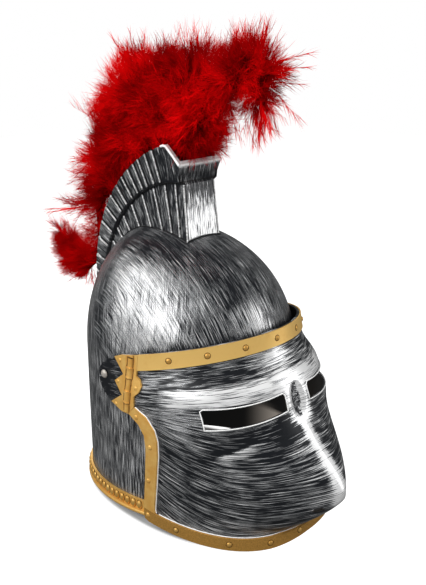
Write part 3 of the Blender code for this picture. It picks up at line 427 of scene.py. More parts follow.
def satin_gold(name, polish=0.0):
    """Mottled gold with painted brown shade and highlight. Polish makes it shinier, as on a rivet's dome.
    """
    paint = Finish(name)
    mottle = paint.noise(paint.place, 90.0, 4.0, 0.65)
    # the stored painted shading darkens the mottle, and lightens it below 0 as a painted highlight
    bright = paint.math("MULTIPLY_ADD", paint.stored("grime"), -0.5, mottle)
    colour = paint.mix(paint.step(bright, 0.3, 0.8), GOLD, GOLD_PALE)
    grain = paint.noise(paint.place, 900.0, 2.0, 0.6)
    # where the stored painted shading is high, the gold turns to the brown of painted shade
    level = paint.math("MULTIPLY_ADD", grain, 0.3, paint.stored("grime"))
    shade_share = paint.step(level, 0.45, 1.05)
    paint.set("Base Color", paint.mix(shade_share, colour, PAINTED_SHADE_BROWN))
    paint.set("Metallic", 0.5 + 0.3 * polish)
    smooth, dull = 0.36 - 0.14 * polish, 0.48 - 0.14 * polish
    paint.set("Roughness", paint.step(grain, 0.2, 0.8, smooth, dull))
    paint.bump(grain, 0.1, 0.0002)
    return paint.material


def plain_finish(name, colour, roughness, metallic, speck):
    paint = Finish(name)
    grain = paint.noise(paint.place, 700.0, 3.0, 0.6)
    darker = tuple(v * speck for v in colour[:3]) + (1.0,)
    paint.set("Base Color", paint.mix(paint.step(grain, 0.3, 0.7), darker, colour))
    paint.set("Metallic", metallic)
    paint.set("Roughness", roughness)
    paint.bump(grain, 0.1, 0.0002)
    return paint.material


gold_paint = satin_gold("satin_gold")
polished_gold = satin_gold("polished_gold", 0.6)
# brown for lines of painted shade beside the hinge barrels and under the knuckles
brown_grime = plain_finish("brown_grime", (0.24, 0.11, 0.03, 1.0), 0.5, 0.1, 0.5)
pewter = plain_finish("worn_pewter", (0.72, 0.67, 0.6, 1.0), 0.36, 0.5, 0.7)
# black for the plates' gaps, and painted shade at the crest's foot and in small holes
dark_hole = plain_finish("dark_hole", (0.01, 0.01, 0.011, 1.0), 0.6, 0.0, 0.5)
# worn silver on raised edges, made white as a painted highlight
edge_silver = plain_finish("edge_silver", (1.0, 1.0, 0.99, 1.0), 0.4, 0.1, 0.8)
worn_silver = plain_finish("worn_silver", (1.0, 1.0, 0.99, 1.0), 0.4, 0.1, 0.12)
print("There are", len(bpy.data.materials), "finishes so far")

# %% [markdown]
# Skull
# The shell is a wall that widens a little towards its rim, and a dome whose crown leans back. It could be
# sculpted from a sphere. Here each level section is a rounded oval, so one formula gives both faces of the
# wall at every height.

# %% Shape the skull
WALL = 2.5
SKULL_HALF_WIDTH, SKULL_HALF_LENGTH, SKULL_MIDDLE_Y = 99.3, 114.9, 1.5
SHOULDER_Z, CROWN_RISE, CROWN_LEAN, CROWN_LEAN_POWER = 151.8, 128.0, 31.8, 1.12
DOME_POWER, PLAN_POWER = 2.16, 2.04
RIM_HALF_WIDTH, RIM_HALF_LENGTH, RIM_MIDDLE_Y = 101.0, 134.4, -10.6
RIM_SLOPE, NAPE_FLAT = 0.085, 7.0
SKULL_COLUMNS, SKULL_WALL_ROWS, SKULL_DOME_ROWS = 176, 24, 30


def rim_height(y):
    return np.maximum(0.0, RIM_SLOPE * (RIM_MIDDLE_Y + RIM_HALF_LENGTH - NAPE_FLAT - y))


def skull_plan(turn, half_width, half_length, middle):
    """A level section. Turn is 0 at the face and grows towards the wearer's left."""
    wide, ahead = np.sin(turn), np.cos(turn)
    x = half_width * np.sign(wide) * np.abs(wide) ** (2.0 / PLAN_POWER)
    return x, middle - half_length * np.sign(ahead) * np.abs(ahead) ** (2.0 / PLAN_POWER)


def skull_wall(turn, share, inset):
    """A point of the wall: share is 0 at the rim and 1 at the shoulder."""
    rim_x, rim_y = skull_plan(turn, RIM_HALF_WIDTH - inset, RIM_HALF_LENGTH - inset, RIM_MIDDLE_Y)
    top_x, top_y = skull_plan(turn, SKULL_HALF_WIDTH - inset, SKULL_HALF_LENGTH - inset, SKULL_MIDDLE_Y)
    low = rim_height(rim_y)
    blend = share * (0.35 + 0.65 * share)
    x, y = rim_x + (top_x - rim_x) * blend, rim_y + (top_y - rim_y) * blend
    return np.stack([x, y, low + (SHOULDER_Z - low) * share], -1)


def skull_dome(turn, size, inset):
    """A point of the dome: size is 1 at the shoulder and 0 at the crown."""
    half_width, half_length = (SKULL_HALF_WIDTH - inset) * size, (SKULL_HALF_LENGTH - inset) * size
    x, y = skull_plan(turn, half_width, half_length, SKULL_MIDDLE_Y)
    y = y + CROWN_LEAN * (1.0 - size) ** CROWN_LEAN_POWER
    z = SHOULDER_Z + (CROWN_RISE - inset) * (1.0 - size**DOME_POWER) ** (1.0 / DOME_POWER)
    return np.stack([x, y, z + 0.0 * x], -1)


def skull_solid():
    """Both faces of the shell, closed at the rim and with a point at the crown."""
    turns = np.linspace(0.0, 2.0 * math.pi, SKULL_COLUMNS, endpoint=False)
    layers, crowns = [], []
    for inset in (0.0, WALL):
        rows = [skull_wall(turns, share, inset) for share in np.linspace(0.0, 1.0, SKULL_WALL_ROWS)]
        for step in range(1, SKULL_DOME_ROWS):
            size = math.cos(math.radians(90.0 * step / SKULL_DOME_ROWS)) ** (2.0 / DOME_POWER)
            rows.append(skull_dome(turns, size, inset))
        layers.append(np.array(rows))
        crowns.append(skull_dome(np.array(0.0), 0.0, inset))
    rows = len(layers[0])
    behind, last = rows * SKULL_COLUMNS, (rows - 1) * SKULL_COLUMNS
    points = np.concatenate([layers[0].reshape(-1, 3), layers[1].reshape(-1, 3), np.array(crowns)])
    faces = []
    for c in range(SKULL_COLUMNS):
        after = (c + 1) % SKULL_COLUMNS
        for r in range(rows - 1):
            a, b = r * SKULL_COLUMNS + c, r * SKULL_COLUMNS + after
            faces.append((a, b, b + SKULL_COLUMNS, a + SKULL_COLUMNS))
            faces.append((behind + a + SKULL_COLUMNS, behind + b + SKULL_COLUMNS, behind + b, behind + a))
        faces.append((after, c, behind + c, behind + after))
        faces.append((last + c, last + after, 2 * behind))
        faces.append((behind + last + after, behind + last + c, 2 * behind + 1))
    return points, faces


print("The crown is", round(SHOULDER_Z + CROWN_RISE, 1), "mm high")

# %% [markdown]
# Paint on the skull
# Two sets of strokes lie on the shell. One climbs the wall, the other sweeps forwards and down over the
# dome, and they cross in a bright patch on each side, which is crosshatched paint and a painted highlight.
# Formulas give all this and a painted shadow line at the visor's edge, and a table adds single bright and
# dark spots, of paint and of painted highlight and shade.

# %% Paint the skull
BROW_SIDE_Z, BROW_SLOPE = 175.2, -0.21


def brow_line(y):
    """Height of the closed visor's upper edge, along which a painted shadow line lies on the skull."""
    return BROW_SIDE_Z + BROW_SLOPE * y


def facing_out(points, normals, middle_y):
    """1 where a face looks away from the head's middle, -1 where it looks towards it, 0 on a cut edge."""
    out = points - (0.0, middle_y, 90.0)
    out = out / np.linalg.norm(out, axis=1, keepdims=True)
    return np.sum(out * normals, axis=1)


# Spots of more or less paint; some bright ones are painted highlight and some dark ones beside the crest
# are painted shade.
SKULL_PAINT_AND_LIGHT_SPOTS = (
    SPOT_COLUMNS,
    (-14.0, -103.0, 206.0, 10.0, 22.0, 19.0, 0.95),
    (-28.0, -80.0, 230.0, 20.0, 24.0, 18.0, -0.4),
    (-52.0, -62.0, 226.0, 14.0, 18.0, 20.0, 0.3),
    (-44.0, -5.0, 270.0, 26.0, 50.0, 14.0, -0.8),
    (-62.0, -12.0, 248.0, 18.0, 28.0, 13.0, 0.75),
    (-16.0, -60.0, 256.0, 24.0, 22.0, 16.0, -0.5),
    (-86.0, 40.0, 200.0, 30.0, 16.0, 40.0, -0.2),
    (-60.0, 70.0, 234.0, 30.0, 30.0, 34.0, 0.12),
    (-66.0, 20.0, 246.0, 22.0, 18.0, 18.0, 0.75),
    (-76.0, -44.0, 204.0, 20.0, 22.0, 20.0, 0.3),
)


def paint_skull(skull):
    """Both sets of strokes' directions and paint, with painted highlight and shade, and the dark inside."""
    points, normals = corners_of(skull)
    x, y, z = points.T
    lean = CROWN_LEAN * ease((z - SHOULDER_Z) / CROWN_RISE)
    turned = 100.0 * np.arctan2(np.abs(x), -(y - SKULL_MIDDLE_Y - lean))
    nothing = np.zeros(len(points))
    slant = 0.35 * np.maximum(z - 150.0, 0.0) * ease((30.0 - y) / 40.0)
    climbing = turned + slant + np.where(x > 0.0, 500.0, 0.0)
    store(skull, "brush", np.column_stack([climbing, nothing, z]) * MM)
    tilt = 0.45 * (y + 100.0) - 0.4 * (z - 215.0)
    sweeping = x + tilt * x / np.hypot(x, 40.0)
    store(skull, "cross_brush", np.column_stack([sweeping, nothing, 0.7 * (y + z)]) * MM)
    out = facing_out(points, normals, 0.0)
    # The bright patch on each side: crosshatched paint, and also a painted highlight.
    hatch_and_highlight = np.exp(-(((y + 17.0) / 48.0) ** 4) - ((z - 206.0) / 42.0) ** 4)
    hatch_and_highlight *= ease((np.abs(x) - 34.0) / 26.0) * np.where(x < 0.0, 1.0, 0.7)
    # A painted shadow line on the skull just above the visor's brow edge.
    brow_painted_shadow = ease((brow_line(y) + 3.0 - z) / 3.0) * ease((z - 168.0) / 8.0) * ease((-20.0 - y) / 20.0)
    common = spots(points, SKULL_PAINT_AND_LIGHT_SPOTS) - 0.7 * brow_painted_shadow - 3.0 * (np.abs(out) < 0.3)
    wall = np.maximum(ease((200.0 - z) / 40.0), ease((y - 24.0) / 30.0))
    store(skull, "cover", 0.3 * wall - 0.9 * (1.0 - wall) + 1.72 * hatch_and_highlight * (1.2 - wall) + common)
    dome = ease((z - 160.0) / 36.0) * ease((64.0 - y) / 40.0)
    cross_cover = 0.25 * dome - 0.9 * (1.0 - dome) + 0.75 * hatch_and_highlight + 0.9 * hatch_and_highlight * (1.0 - dome)
    store(skull, "cross_cover", cross_cover + common)
    store(skull, "weave", 0.85 * hatch_and_highlight)
    store(skull, "inside", (out < -0.3).astype(float))
    # painted light on the lower part of the skull's inside
    store(skull, "pale", ease((56.0 - z) / 5.0) * ease((12.0 - y) / 64.0))


# %% [markdown]
# Openings of the skull
# A Boolean takes the opening for the face out of the whole shell, with rounded upper corners, and bores one
# hole through both sides for the rivets that the visor turns on.

# %% Cut and finish the skull
FACE_EDGE_Y, FACE_TOP_Z, FACE_CORNER = -72.0, 168.0, 26.0
PIVOT_Y, PIVOT_Z, PIN_HOLE = 14.0, 150.0, 2.8
PIN_BORE = prism(circle((PIVOT_Y, PIVOT_Z), (PIN_HOLE, PIN_HOLE), 24), 0, -130.0, 130.0)


def make_skull():
    skull = new_piece("skull", *skull_solid())
    corner = [
        (FACE_EDGE_Y - FACE_CORNER * (1.0 - math.cos(t)), FACE_TOP_Z - FACE_CORNER * (1.0 - math.sin(t)))
        for t in np.radians(np.linspace(90.0, 0.0, 13))
    ]
    face = [(-220.0, -30.0), (-220.0, FACE_TOP_Z), *corner, (FACE_EDGE_Y, -30.0)]
    cut(skull, "DIFFERENCE", [prism(face, 0, -160.0, 160.0), PIN_BORE])
    paint_skull(skull)
    silver = brushed_silver("skull_silver", 0.6, 24.0, 1.1, crossed=True)
    finish_piece(skull, silver, 40.0, "helmet", "skull_shell")


make_skull()

# %% [markdown]
# Visor
# The visor is a wall that follows rows from the chin to the brow. No formula gives its swelling face, so
# each row is a rounded oval from a short table of sections. The beak then pushes the middle of the face
# forward, with a ridge on it and a leaf-shaped recess between the eyes.

# %% Shape the visor's rows
VISOR_END_Y = 28.0
CHIN_SLOPE, CHIN_FRONT_Y, CHIN_FLAT = 0.155, -153.8, 1.2
CHIN_MIDDLE_Y, BROW_MIDDLE_Y, BACK_LENGTH = -4.8, 1.8, 150.0
TEMPLE_IN, TEMPLE_FROM_Y, TEMPLE_TO_Y = 4.3, -40.0, 12.0
VISOR_SECTIONS = (
    ("height", "reach", "half_width", "power"),
    (0.0, 153.8, 109.8, 2.40),
    (45.0, 150.0, 110.4, 2.42),
    (95.0, 145.6, 110.6, 2.46),
    (122.0, 143.6, 110.4, 2.48),
    (130.0, 142.4, 110.2, 2.44),
    (146.0, 137.4, 109.8, 2.32),
    (154.0, 134.4, 109.4, 2.28),
    (160.0, 130.8, 109.0, 2.22),
    (165.0, 126.8, 108.6, 2.15),
    (170.0, 122.8, 108.2, 2.09),
    (176.0, 120.2, 107.8, 2.02),
    (184.0, 118.2, 107.3, 1.98),
    (199.0, 116.2, 106.8, 1.95),
)
BEAK_TIP_Z, BEAK_REACH, BEAK_HALF_WIDTH, BEAK_UP, BEAK_DOWN = 52.0, 45.0, 98.0, 78.0, 41.0
BEAK_SIDE_POWER, BEAK_UNDER_POWER = 1.35, 1.3
RIDGE_PROUD, RIDGE_WIDTH, RIDGE_ROUND = 1.5, 5.0, 4.2
RECESS_DEEP, RECESS_HALF_WIDTH, RECESS_TOP_Z, RECESS_BOTTOM_Z = 3.2, 8.0, 152.0, 119.0


def chin_line(y):
    """Height of the visor's lower edge."""
    return np.maximum(0.0, CHIN_SLOPE * (y - CHIN_FRONT_Y) - CHIN_FLAT)


def row_form(share):
    """Reach, half width, roundness and middle of a row: 0 at the chin, 1 at the brow."""
    table = np.array(VISOR_SECTIONS[1:])
    height = share * table[-1, 0]
    for _ in range(8):
        reach = smooth_through(table[:, 0], table[:, 1], height)
        low, high = chin_line(-reach), brow_line(-reach)
        height = min(low + (high - low) * share, table[-1, 0])
    half_width = smooth_through(table[:, 0], table[:, 2], height)
    power = smooth_through(table[:, 0], table[:, 3], height)
    return reach, half_width, power, CHIN_MIDDLE_Y + (BROW_MIDDLE_Y - CHIN_MIDDLE_Y) * share


def recess_leaf(x, z):
    """More than 0 inside the leaf-shaped recess between the eyes."""
    along = (z - RECESS_BOTTOM_Z) / (RECESS_TOP_Z - RECESS_BOTTOM_Z)
    return np.clip(4.0 * along * (1.0 - along), 0.0, 1.0) ** 0.6 - np.abs(x) / RECESS_HALF_WIDTH


def beak_push(x, z):
    """How far the beak pushes the face forward: a ridge with straight flanks, steep below its tip."""
    x = np.hypot(x, RIDGE_ROUND) - RIDGE_ROUND
    across = np.abs(x) / BEAK_HALF_WIDTH
    up = np.where(z > BEAK_TIP_Z, (z - BEAK_TIP_Z) / BEAK_UP, (BEAK_TIP_Z - z) / BEAK_DOWN)
    far = np.hypot(across, up)
    sideways = across**2 / np.maximum(far**2, 1e-9)
    flank = np.maximum(0.0, 1.0 - far) ** BEAK_SIDE_POWER
    above = 0.5 * (1.0 + np.cos(math.pi * np.minimum(far, 1.0)))
    below = np.maximum(0.0, 1.0 - far**BEAK_UNDER_POWER)
    rise = np.where(z > BEAK_TIP_Z, above, below)
    push = BEAK_REACH * (sideways * flank + (1.0 - sideways) * rise)
    ridge = ease((z - BEAK_TIP_Z) / 8.0) * ease((RECESS_BOTTOM_Z - z) / 8.0)
    push = push + RIDGE_PROUD * ridge * np.exp(-np.abs(x) / RIDGE_WIDTH)
    return push - RECESS_DEEP * np.maximum(0.0, recess_leaf(x, z))


def temple_in(y):
    """How far the visor's arms draw in towards the temples."""
    return TEMPLE_IN * ease((y - TEMPLE_FROM_Y) / (TEMPLE_TO_Y - TEMPLE_FROM_Y))


def visor_row(share, spread):
    """Points of one row on the wearer's left, from the middle of the face back to the arm."""
    reach, half_width, power, middle = row_form(share)
    turn = np.linspace(0.0, 0.62 * math.pi, 1500)
    ahead = np.abs(np.cos(turn)) ** (2.0 / power)
    x = half_width * np.sin(turn) ** (2.0 / power)
    y = np.where(turn < 0.5 * math.pi, middle - (reach + middle) * ahead, middle + BACK_LENGTH * ahead)
    run = np.concatenate([[0.0], np.cumsum(np.hypot(np.diff(x), np.diff(y)))])
    where = spread(float(np.interp(VISOR_END_Y, y, run)))
    x, y = np.interp(where, run, x), np.interp(where, run, y)
    z = chin_line(y) + (brow_line(y) - chin_line(y)) * share
    return np.stack([x - temple_in(y), y - beak_push(x, z), z], -1)


print("The beak stands", BEAK_REACH, "mm in front of the face's oval")

# %% [markdown]
# Layers of the visor
# Rows become a grid of points, and each point has an outward direction. A layer is what lies between two
# distances from that grid: the visor's own wall is one, and the gold bands will be thin ones over it.

# %% Turn the rows into layers
VISOR_WALL = 2.2


def visor_grid(low=0.0, high=1.0, rows=110, columns=92):
    """Rows between two shares of the height, and the outward directions at their points."""
    spread = lambda whole: whole * np.linspace(0.0, 1.0, columns) ** 1.3
    left = np.array([visor_row(share, spread) for share in np.linspace(low, high, rows)])
    grid = np.concatenate([left[:, :0:-1] * (-1.0, 1.0, 1.0), left], axis=1)
    out = np.cross(np.gradient(grid, axis=1), np.gradient(grid, axis=0))
    return grid, out / np.linalg.norm(out, axis=-1, keepdims=True)


def visor_layer(from_out, to_out, *stretch):
    """A closed layer between two distances from the visor's face."""
    grid, out = visor_grid(*stretch)
    sheets = []
    for distance in (to_out, from_out):
        sheet = grid + out * distance
        sheet[..., 2] = np.maximum(sheet[..., 2], 0.0)
        sheets.append(sheet)
    return sheet_solid(*sheets)


# %% [markdown]
# Paint on the visor
# The brush ran round the face. A full strip lies on the ledge over the slits and another on the beak's
# ridge, which is also a painted highlight. Each cheek's fold has a painted highlight below its line and
# painted shade above it, short ticks cross the recess, and a table adds spots of paint and of painted
# highlight and shade. "share" is the height between the chin's edge and the brow's, from 0 to 1.

# %% Paint the visor
BREATH_X, BREATH_Z, BREATH_RADII = 22.0, 45.5, (5.2, 2.0)
# Spots of more or less paint; some bright ones are painted highlight and some dark ones painted shade.
VISOR_PAINT_AND_LIGHT_SPOTS = (
    SPOT_COLUMNS,
    (-10.0, -120.0, 174.0, 20.0, 30.0, 16.0, 1.25),
    (30.0, -122.0, 168.0, 22.0, 30.0, 14.0, 0.25),
    (-98.0, -84.0, 118.0, 8.0, 11.0, 22.0, 0.5),
    (98.0, -84.0, 118.0, 8.0, 11.0, 22.0, 0.5),
    (-25.0, -147.0, 114.0, 22.0, 30.0, 14.0, -0.9),
    (-55.0, -135.0, 116.0, 40.0, 40.0, 9.0, -0.3),
    (-95.0, -95.0, 95.0, 30.0, 26.0, 16.0, -0.35),
    (-70.0, -120.0, 60.0, 60.0, 60.0, 24.0, -0.1),
    (-84.0, -96.0, 20.0, 60.0, 60.0, 12.0, 0.4),
    (-109.0, 10.0, 150.0, 12.0, 28.0, 34.0, -0.9),
    (109.0, 10.0, 150.0, 12.0, 28.0, 34.0, -0.9),
)


def paint_visor(visor):
    """The strokes' directions, how much paint they leave, painted highlight and shade, and the dark inside.
    """
    points, normals = corners_of(visor)
    x, y, z = points.T
    share = (z - chin_line(y)) / (brow_line(y) - chin_line(y))
    around = 125.0 * np.arctan2(x, -y)
    far = np.abs(around) - 75.0
    sweep = (0.17 * far + 0.3 * np.hypot(far, 30.0)) * ease((0.72 - share) / 0.14)
    across = share * 190.0 - sweep
    in_leaf = recess_leaf(x, z)
    leaf_half_width = in_leaf * RECESS_HALF_WIDTH + np.abs(x)
    ticks = (in_leaf > 0.08) & (y < -120.0) & (leaf_half_width > 1.8 * x)
    across = np.where(ticks, 0.9 * (z + 0.35 * np.abs(x)), across)
    along = np.where(ticks, x * 4.0, around)
    store(visor, "brush", np.column_stack([across, np.zeros(len(x)), along]) * MM)
    ledge = ease((share - 0.712) / 0.012) * ease((0.812 - share) / 0.025) * ease((-52.0 - y) / 26.0)
    # The full strip on the beak's ridge is thick paint and also a painted highlight.
    in_beak = ease((z - BEAK_TIP_Z + 9.0) / 5.0) * ease((RECESS_BOTTOM_Z + 6.0 - z) / 9.0)
    ridge_half_width = 7.4 + 3.0 * ease((96.0 - z) / 40.0)
    ridge = np.exp(-(np.abs(x / ridge_half_width) ** 4.0)) * in_beak * (y < -120.0)
    dark_over = np.exp(-(((share - 0.845) / 0.022) ** 2))
    dark_over *= ease((-60.0 - y) / 30.0) * ease((-x - 24.0) / 10.0)
    # The cheek's fold: a painted highlight just below its line and painted shade just above it.
    fold = 99.0 + 0.42 * (79.6 - np.abs(x)) - z
    in_fold = ease((86.0 - np.abs(x)) / 8.0) * ease((np.abs(x) - 42.0) / 18.0) * (y < -90.0)
    fold_light = ease((fold + 1.0) / 2.0) * np.exp(-((fold / 6.5) ** 2)) * in_fold
    fold_shade = ease((1.0 - fold) / 2.0) * np.exp(-((fold / 9.0) ** 2)) * in_fold
    cover = 0.12 + 1.4 * ledge - 0.5 * dark_over + 1.9 * ridge + spots(points, VISOR_PAINT_AND_LIGHT_SPOTS)
    cover += 1.2 * fold_light - 0.6 * fold_shade
    beside_leaf = np.exp(-((x / 16.0) ** 6)) * (y < -110.0)
    beside_leaf *= ease((z - 112.0) / 8.0) * ease((151.0 - z) / 6.0)
    cover = np.where(ticks, 0.12 + 0.06 * x, cover + 1.7 * beside_leaf)
    out = facing_out(points, normals, -30.0)
    edge = np.abs(out) < 0.22
    store(visor, "cover", np.where(edge, 0.3, cover))
    in_slit = edge & (z > 110.0) & (z < 150.0) & (y < -60.0)
    in_hole = (np.abs(normals[:, 1]) < 0.02) & (np.abs(z - BREATH_Z) < 6.0) & (y < -140.0)
    store(visor, "inside", ((out < -0.22) | in_slit | in_hole).astype(float))
    # a faint even share of painted light on the visor's lining
    store(visor, "pale", np.full(len(x), 0.05))


# %% [markdown]
# Openings of the visor
# One outline in the side view cuts the rear edge, with the cheeks and the arms that reach to the rivets.
# The eye slits and the two small breath holes are cut from the front.

# %% Cut and finish the visor
SLIT = ((16.4, 129.6), (16.0, 143.5), (18.5, 146.2), (84.6, 141.2), (86.4, 139.4), (87.3, 123.2))
REAR_CORNER = ((-48.0, -30.0), (-48.0, 15.2), (-43.4, 17.2))
CHEEK_REAR = ((-42.0, 21.5), (-45.5, 60.0), (-47.8, 93.5), (-46.4, 106.8), (-39.6, 116.6), (-28.5, 122.6))
ARM_EDGE = (
    (-15.7, 121.9), (3.4, 124.2), (9.3, 127.8), (13.9, 131.3), (20.0, 136.9), (23.5, 143.3), (24.6, 149.1),
    (22.9, 154.7), (17.1, 161.2), (7.1, 167.6), (-1.4, 172.4), (-13.5, 178.1), (-26.0, 181.4),
)
BEHIND_VISOR = ((-30.0, 230.0), (90.0, 230.0), (90.0, -30.0))


def make_visor():
    visor = new_piece("visor", *visor_layer(-VISOR_WALL, 0.0))
    cutters = [prism([*REAR_CORNER, *CHEEK_REAR, *ARM_EDGE, *BEHIND_VISOR], 0, -150.0, 150.0)]
    for side in (1.0, -1.0):
        hole = circle((side * BREATH_X, BREATH_Z), BREATH_RADII, 24)
        cutters.append(prism([(side * x, z) for x, z in SLIT], 1, -220.0, -60.0))
        cutters.append(prism(hole, 1, -230.0, -100.0))
    cut(visor, "DIFFERENCE", [*cutters, PIN_BORE])
    paint_visor(visor)
    silver = brushed_silver("visor_silver", 0.72, 26.0, 2.8)
    finish_piece(visor, silver, 42.0, "visor", "visor_shell")


make_visor()

# %% [markdown]
# Gold bands
# Gold bands edge the visor at the brow, the chin and the cheeks. They could be strips bent along its edges.
# Here they are thin layers over the visor's face, cut to an outline in the side view, because a layer
# follows every swelling of the face. Their rivets repeat, so they come later.

# %% Make the bands
BAND_THICK, BROW_BAND_HEIGHT, CHIN_BAND_HEIGHT = 1.5, 15.4, 12.6
CHEEK_FRONT = (
    (-33.7, 131.4), (-47.4, 125.5), (-57.1, 115.0), (-60.4, 104.1), (-60.6, 88.8), (-57.9, 59.0),
    (-54.8, 30.0),
)
BOTH_SIDES = (-150.0, 150.0)
ONE_SIDE = {1.0: (60.0, 140.0), -1.0: (-140.0, -60.0)}
BAND_SMOOTH_DEG = 35.0


def make_band(name, outline, sides, stretch, node, grime=0.0):
    band = new_piece(name, *visor_layer(GAP, GAP + BAND_THICK, *stretch))
    cut(band, "INTERSECT", [prism(outline, 0, *sides)])
    # one even amount of painted shading for the whole band
    store(band, "grime", np.full(len(band.data.vertices), grime))
    finish_piece(band, gold_paint, BAND_SMOOTH_DEG, "visor", node)


far_front = -220.0
brow_outline = [(-34.9, 214.0), (-34.9, 184.0), (-34.3, brow_line(-34.3) - BROW_BAND_HEIGHT)]
brow_outline += [(far_front, brow_line(far_front) - BROW_BAND_HEIGHT), (far_front, 260.0)]
# the brow band is painted lighter gold as a painted highlight
make_band("brow_trim", brow_outline, BOTH_SIDES, (0.86, 1.0, 12, 110), "brow_band", -0.6)
chin_top = [(y, float(chin_line(y)) + CHIN_BAND_HEIGHT) for y in (-43.0, -100.0, -146.0, -230.0)]
chin_outline = [(-230.0, -30.0), *REAR_CORNER, CHEEK_REAR[0], (-42.4, chin_top[0][1]), *chin_top[1:]]
# the chin band is painted darker gold as painted shade
make_band("chin_trim", chin_outline, BOTH_SIDES, (0.0, 0.14, 14, 110), "chin_band", 0.56)
cheek_foot = [(y, float(chin_line(y)) + CHIN_BAND_HEIGHT + 0.4) for y in (-55.6, -42.4)]
cheek_outline = [(-26.5, 123.2), *CHEEK_FRONT, *cheek_foot, *CHEEK_REAR[1:]]
for name, side in (("left", 1.0), ("right", -1.0)):
    stretch = (0.0, 0.85, 40, 110)
    make_band("cheek_trim_" + name, cheek_outline, ONE_SIDE[side], stretch, "cheek_band_" + name)

# %% [markdown]
# Places on the visor's side
# What sits on the temples is measured in the side view. The visor's own form then gives the rest: how far
# out its face lies there and which way it looks.

# %% Find places on the visor's side


def side_x(y, z):
    """Half width of the visor at a point of its side view."""
    share = (z - chin_line(y)) / (brow_line(y) - chin_line(y))
    reach, half_width, power, middle = row_form(float(np.clip(share, 0.0, 1.0)))
    length = reach + middle if y < middle else BACK_LENGTH
    part = min(1.0, abs((y - middle) / length))
    return half_width * (1.0 - part**power) ** (1.0 / power) - temple_in(y)


def on_side(side, y, z):
    """A point on the visor's side and the outward direction there."""
    slope_y = (side_x(y + 1.0, z) - side_x(y - 1.0, z)) / 2.0
    slope_z = (side_x(y, z + 1.0) - side_x(y, z - 1.0)) / 2.0
    out = np.array((side, -slope_y, -slope_z))
    return np.array((side * side_x(y, z), y, z)), out / np.linalg.norm(out)


print("The visor is", round(2.0 * side_x(PIVOT_Y, PIVOT_Z), 1), "mm wide at its rivets")

# %% [markdown]
# Hinges
# Each hinge is an ornament on the temple and doesn't turn: a three-pointed leaf and a round leaf, with a
# half-round barrel between them and two knuckles on it. The leaf is a layer like the bands. The barrel and
# the knuckles are half bars that sink into each other, so they need no Boolean.

# %% Make the hinges
HINGE_OUTLINE = (
    (-34.5, 182.0), (-13.9, 177.7), (-3.7, 173.3), (-17.2, 159.6), (-4.4, 149.7), (-16.3, 139.0),
    (1.1, 126.6), (-15.7, 122.3), (-26.0, 123.0), (-33.3, 131.6), (-33.1, 141.9), (-38.8, 147.3),
    (-40.7, 153.3), (-38.0, 159.2), (-33.6, 161.4), (-33.9, 166.0),
)
BARREL_TOP, BARREL_FOOT = np.array((-26.2, 178.3)), np.array((-23.8, 124.8))
BARREL_RADIUS, BARREL_PROUD, KNUCKLE_GROWTH = 3.3, 1.7, 1.0
KNUCKLES = ((0.19, 0.39), (0.62, 0.84))
KNUCKLE_RING, RING_OVERHANG = 0.03, 0.006
BAR_SHARES = (0.0, 0.02, *np.linspace(0.15, 0.85, 5), 0.98, 1.0)
BAR_TURNS = np.linspace(0.0, math.pi, 15)


def half_bar(side, start, end, radius, proud):
    """Half a bar on the visor's side between two points of the side view."""
    sections = []
    along = np.array((0.0, *(end - start))) / np.linalg.norm(end - start)
    for share in BAR_SHARES:
        point, out = on_side(side, *(start + (end - start) * share))
        low = point + out * (GAP + 0.2)
        wide, tall = np.cross(out, along) * radius, out * (BAND_THICK + proud)
        sections.append([low + wide * math.cos(t) + tall * math.sin(t) for t in BAR_TURNS])
    return loft(sections)


def from_barrel(points):
    """How far each point lies in front of (less than 0) or behind the barrel's middle line."""
    run = BARREL_FOOT - BARREL_TOP
    return points[:, 1] - (BARREL_TOP[0] + run[0] * (points[:, 2] - BARREL_TOP[1]) / run[1])


def make_hinge_leaf(name, side):
    """The flat leaf, with painted shade along both sides of the barrel."""
    layer = visor_layer(GAP, GAP + BAND_THICK, 0.6, 1.0, 40, 110)
    leaf = new_piece("hinge_" + name + "_leaf", *layer)
    cut(leaf, "INTERSECT", [prism(HINGE_OUTLINE, 0, *ONE_SIDE[side])])
    off = np.abs(from_barrel(head_points(leaf)))
    # painted shade in the creases along both sides of the barrel
    store(leaf, "grime", 0.75 * np.exp(-(((off - BARREL_RADIUS - 0.6) / 0.9) ** 2)))
    finish_piece(leaf, gold_paint, BAND_SMOOTH_DEG, "visor", "hinge_" + name)


def make_hinge_barrel(name, side):
    """The barrel, and for each knuckle a wider bar with a ring at both ends."""
    run = BARREL_FOOT - BARREL_TOP
    rows = [(0.0, 1.0, 0.0)]
    for first, last in KNUCKLES:
        rows.append((first, last, 0.6))
        rows.append((first - RING_OVERHANG, first + KNUCKLE_RING, KNUCKLE_GROWTH))
        rows.append((last - KNUCKLE_RING, last + RING_OVERHANG, KNUCKLE_GROWTH))
    points, faces = [], []
    for low, high, more in rows:
        ends = BARREL_TOP + run * low, BARREL_TOP + run * high
        bar_points, bar_faces = half_bar(side, *ends, BARREL_RADIUS + more, BARREL_PROUD + more)
        faces += [tuple(len(points) + i for i in face) for face in bar_faces]
        points += bar_points
    barrel = new_piece("hinge_" + name + "_barrel", points, faces)
    places = head_points(barrel)
    # painted shade on the barrel's front side, and darker at its top end
    shaded = 0.3 * ease(-from_barrel(places) / BARREL_RADIUS)
    store(barrel, "grime", shaded + 1.2 * (places[:, 2] > BARREL_TOP[1] - 0.6))
    finish_piece(barrel, gold_paint, BAND_SMOOTH_DEG, "visor")


for name, side in (("left", 1.0), ("right", -1.0)):
    make_hinge_leaf(name, side)
    make_hinge_barrel(name, side)

# %% [markdown]
# Rim band
# A gold band with a rolled lip runs round the skull's lower edge, from cheek to cheek by way of the nape.
# It is one profile carried along the rim. The channel above its lip takes a row of beads later.

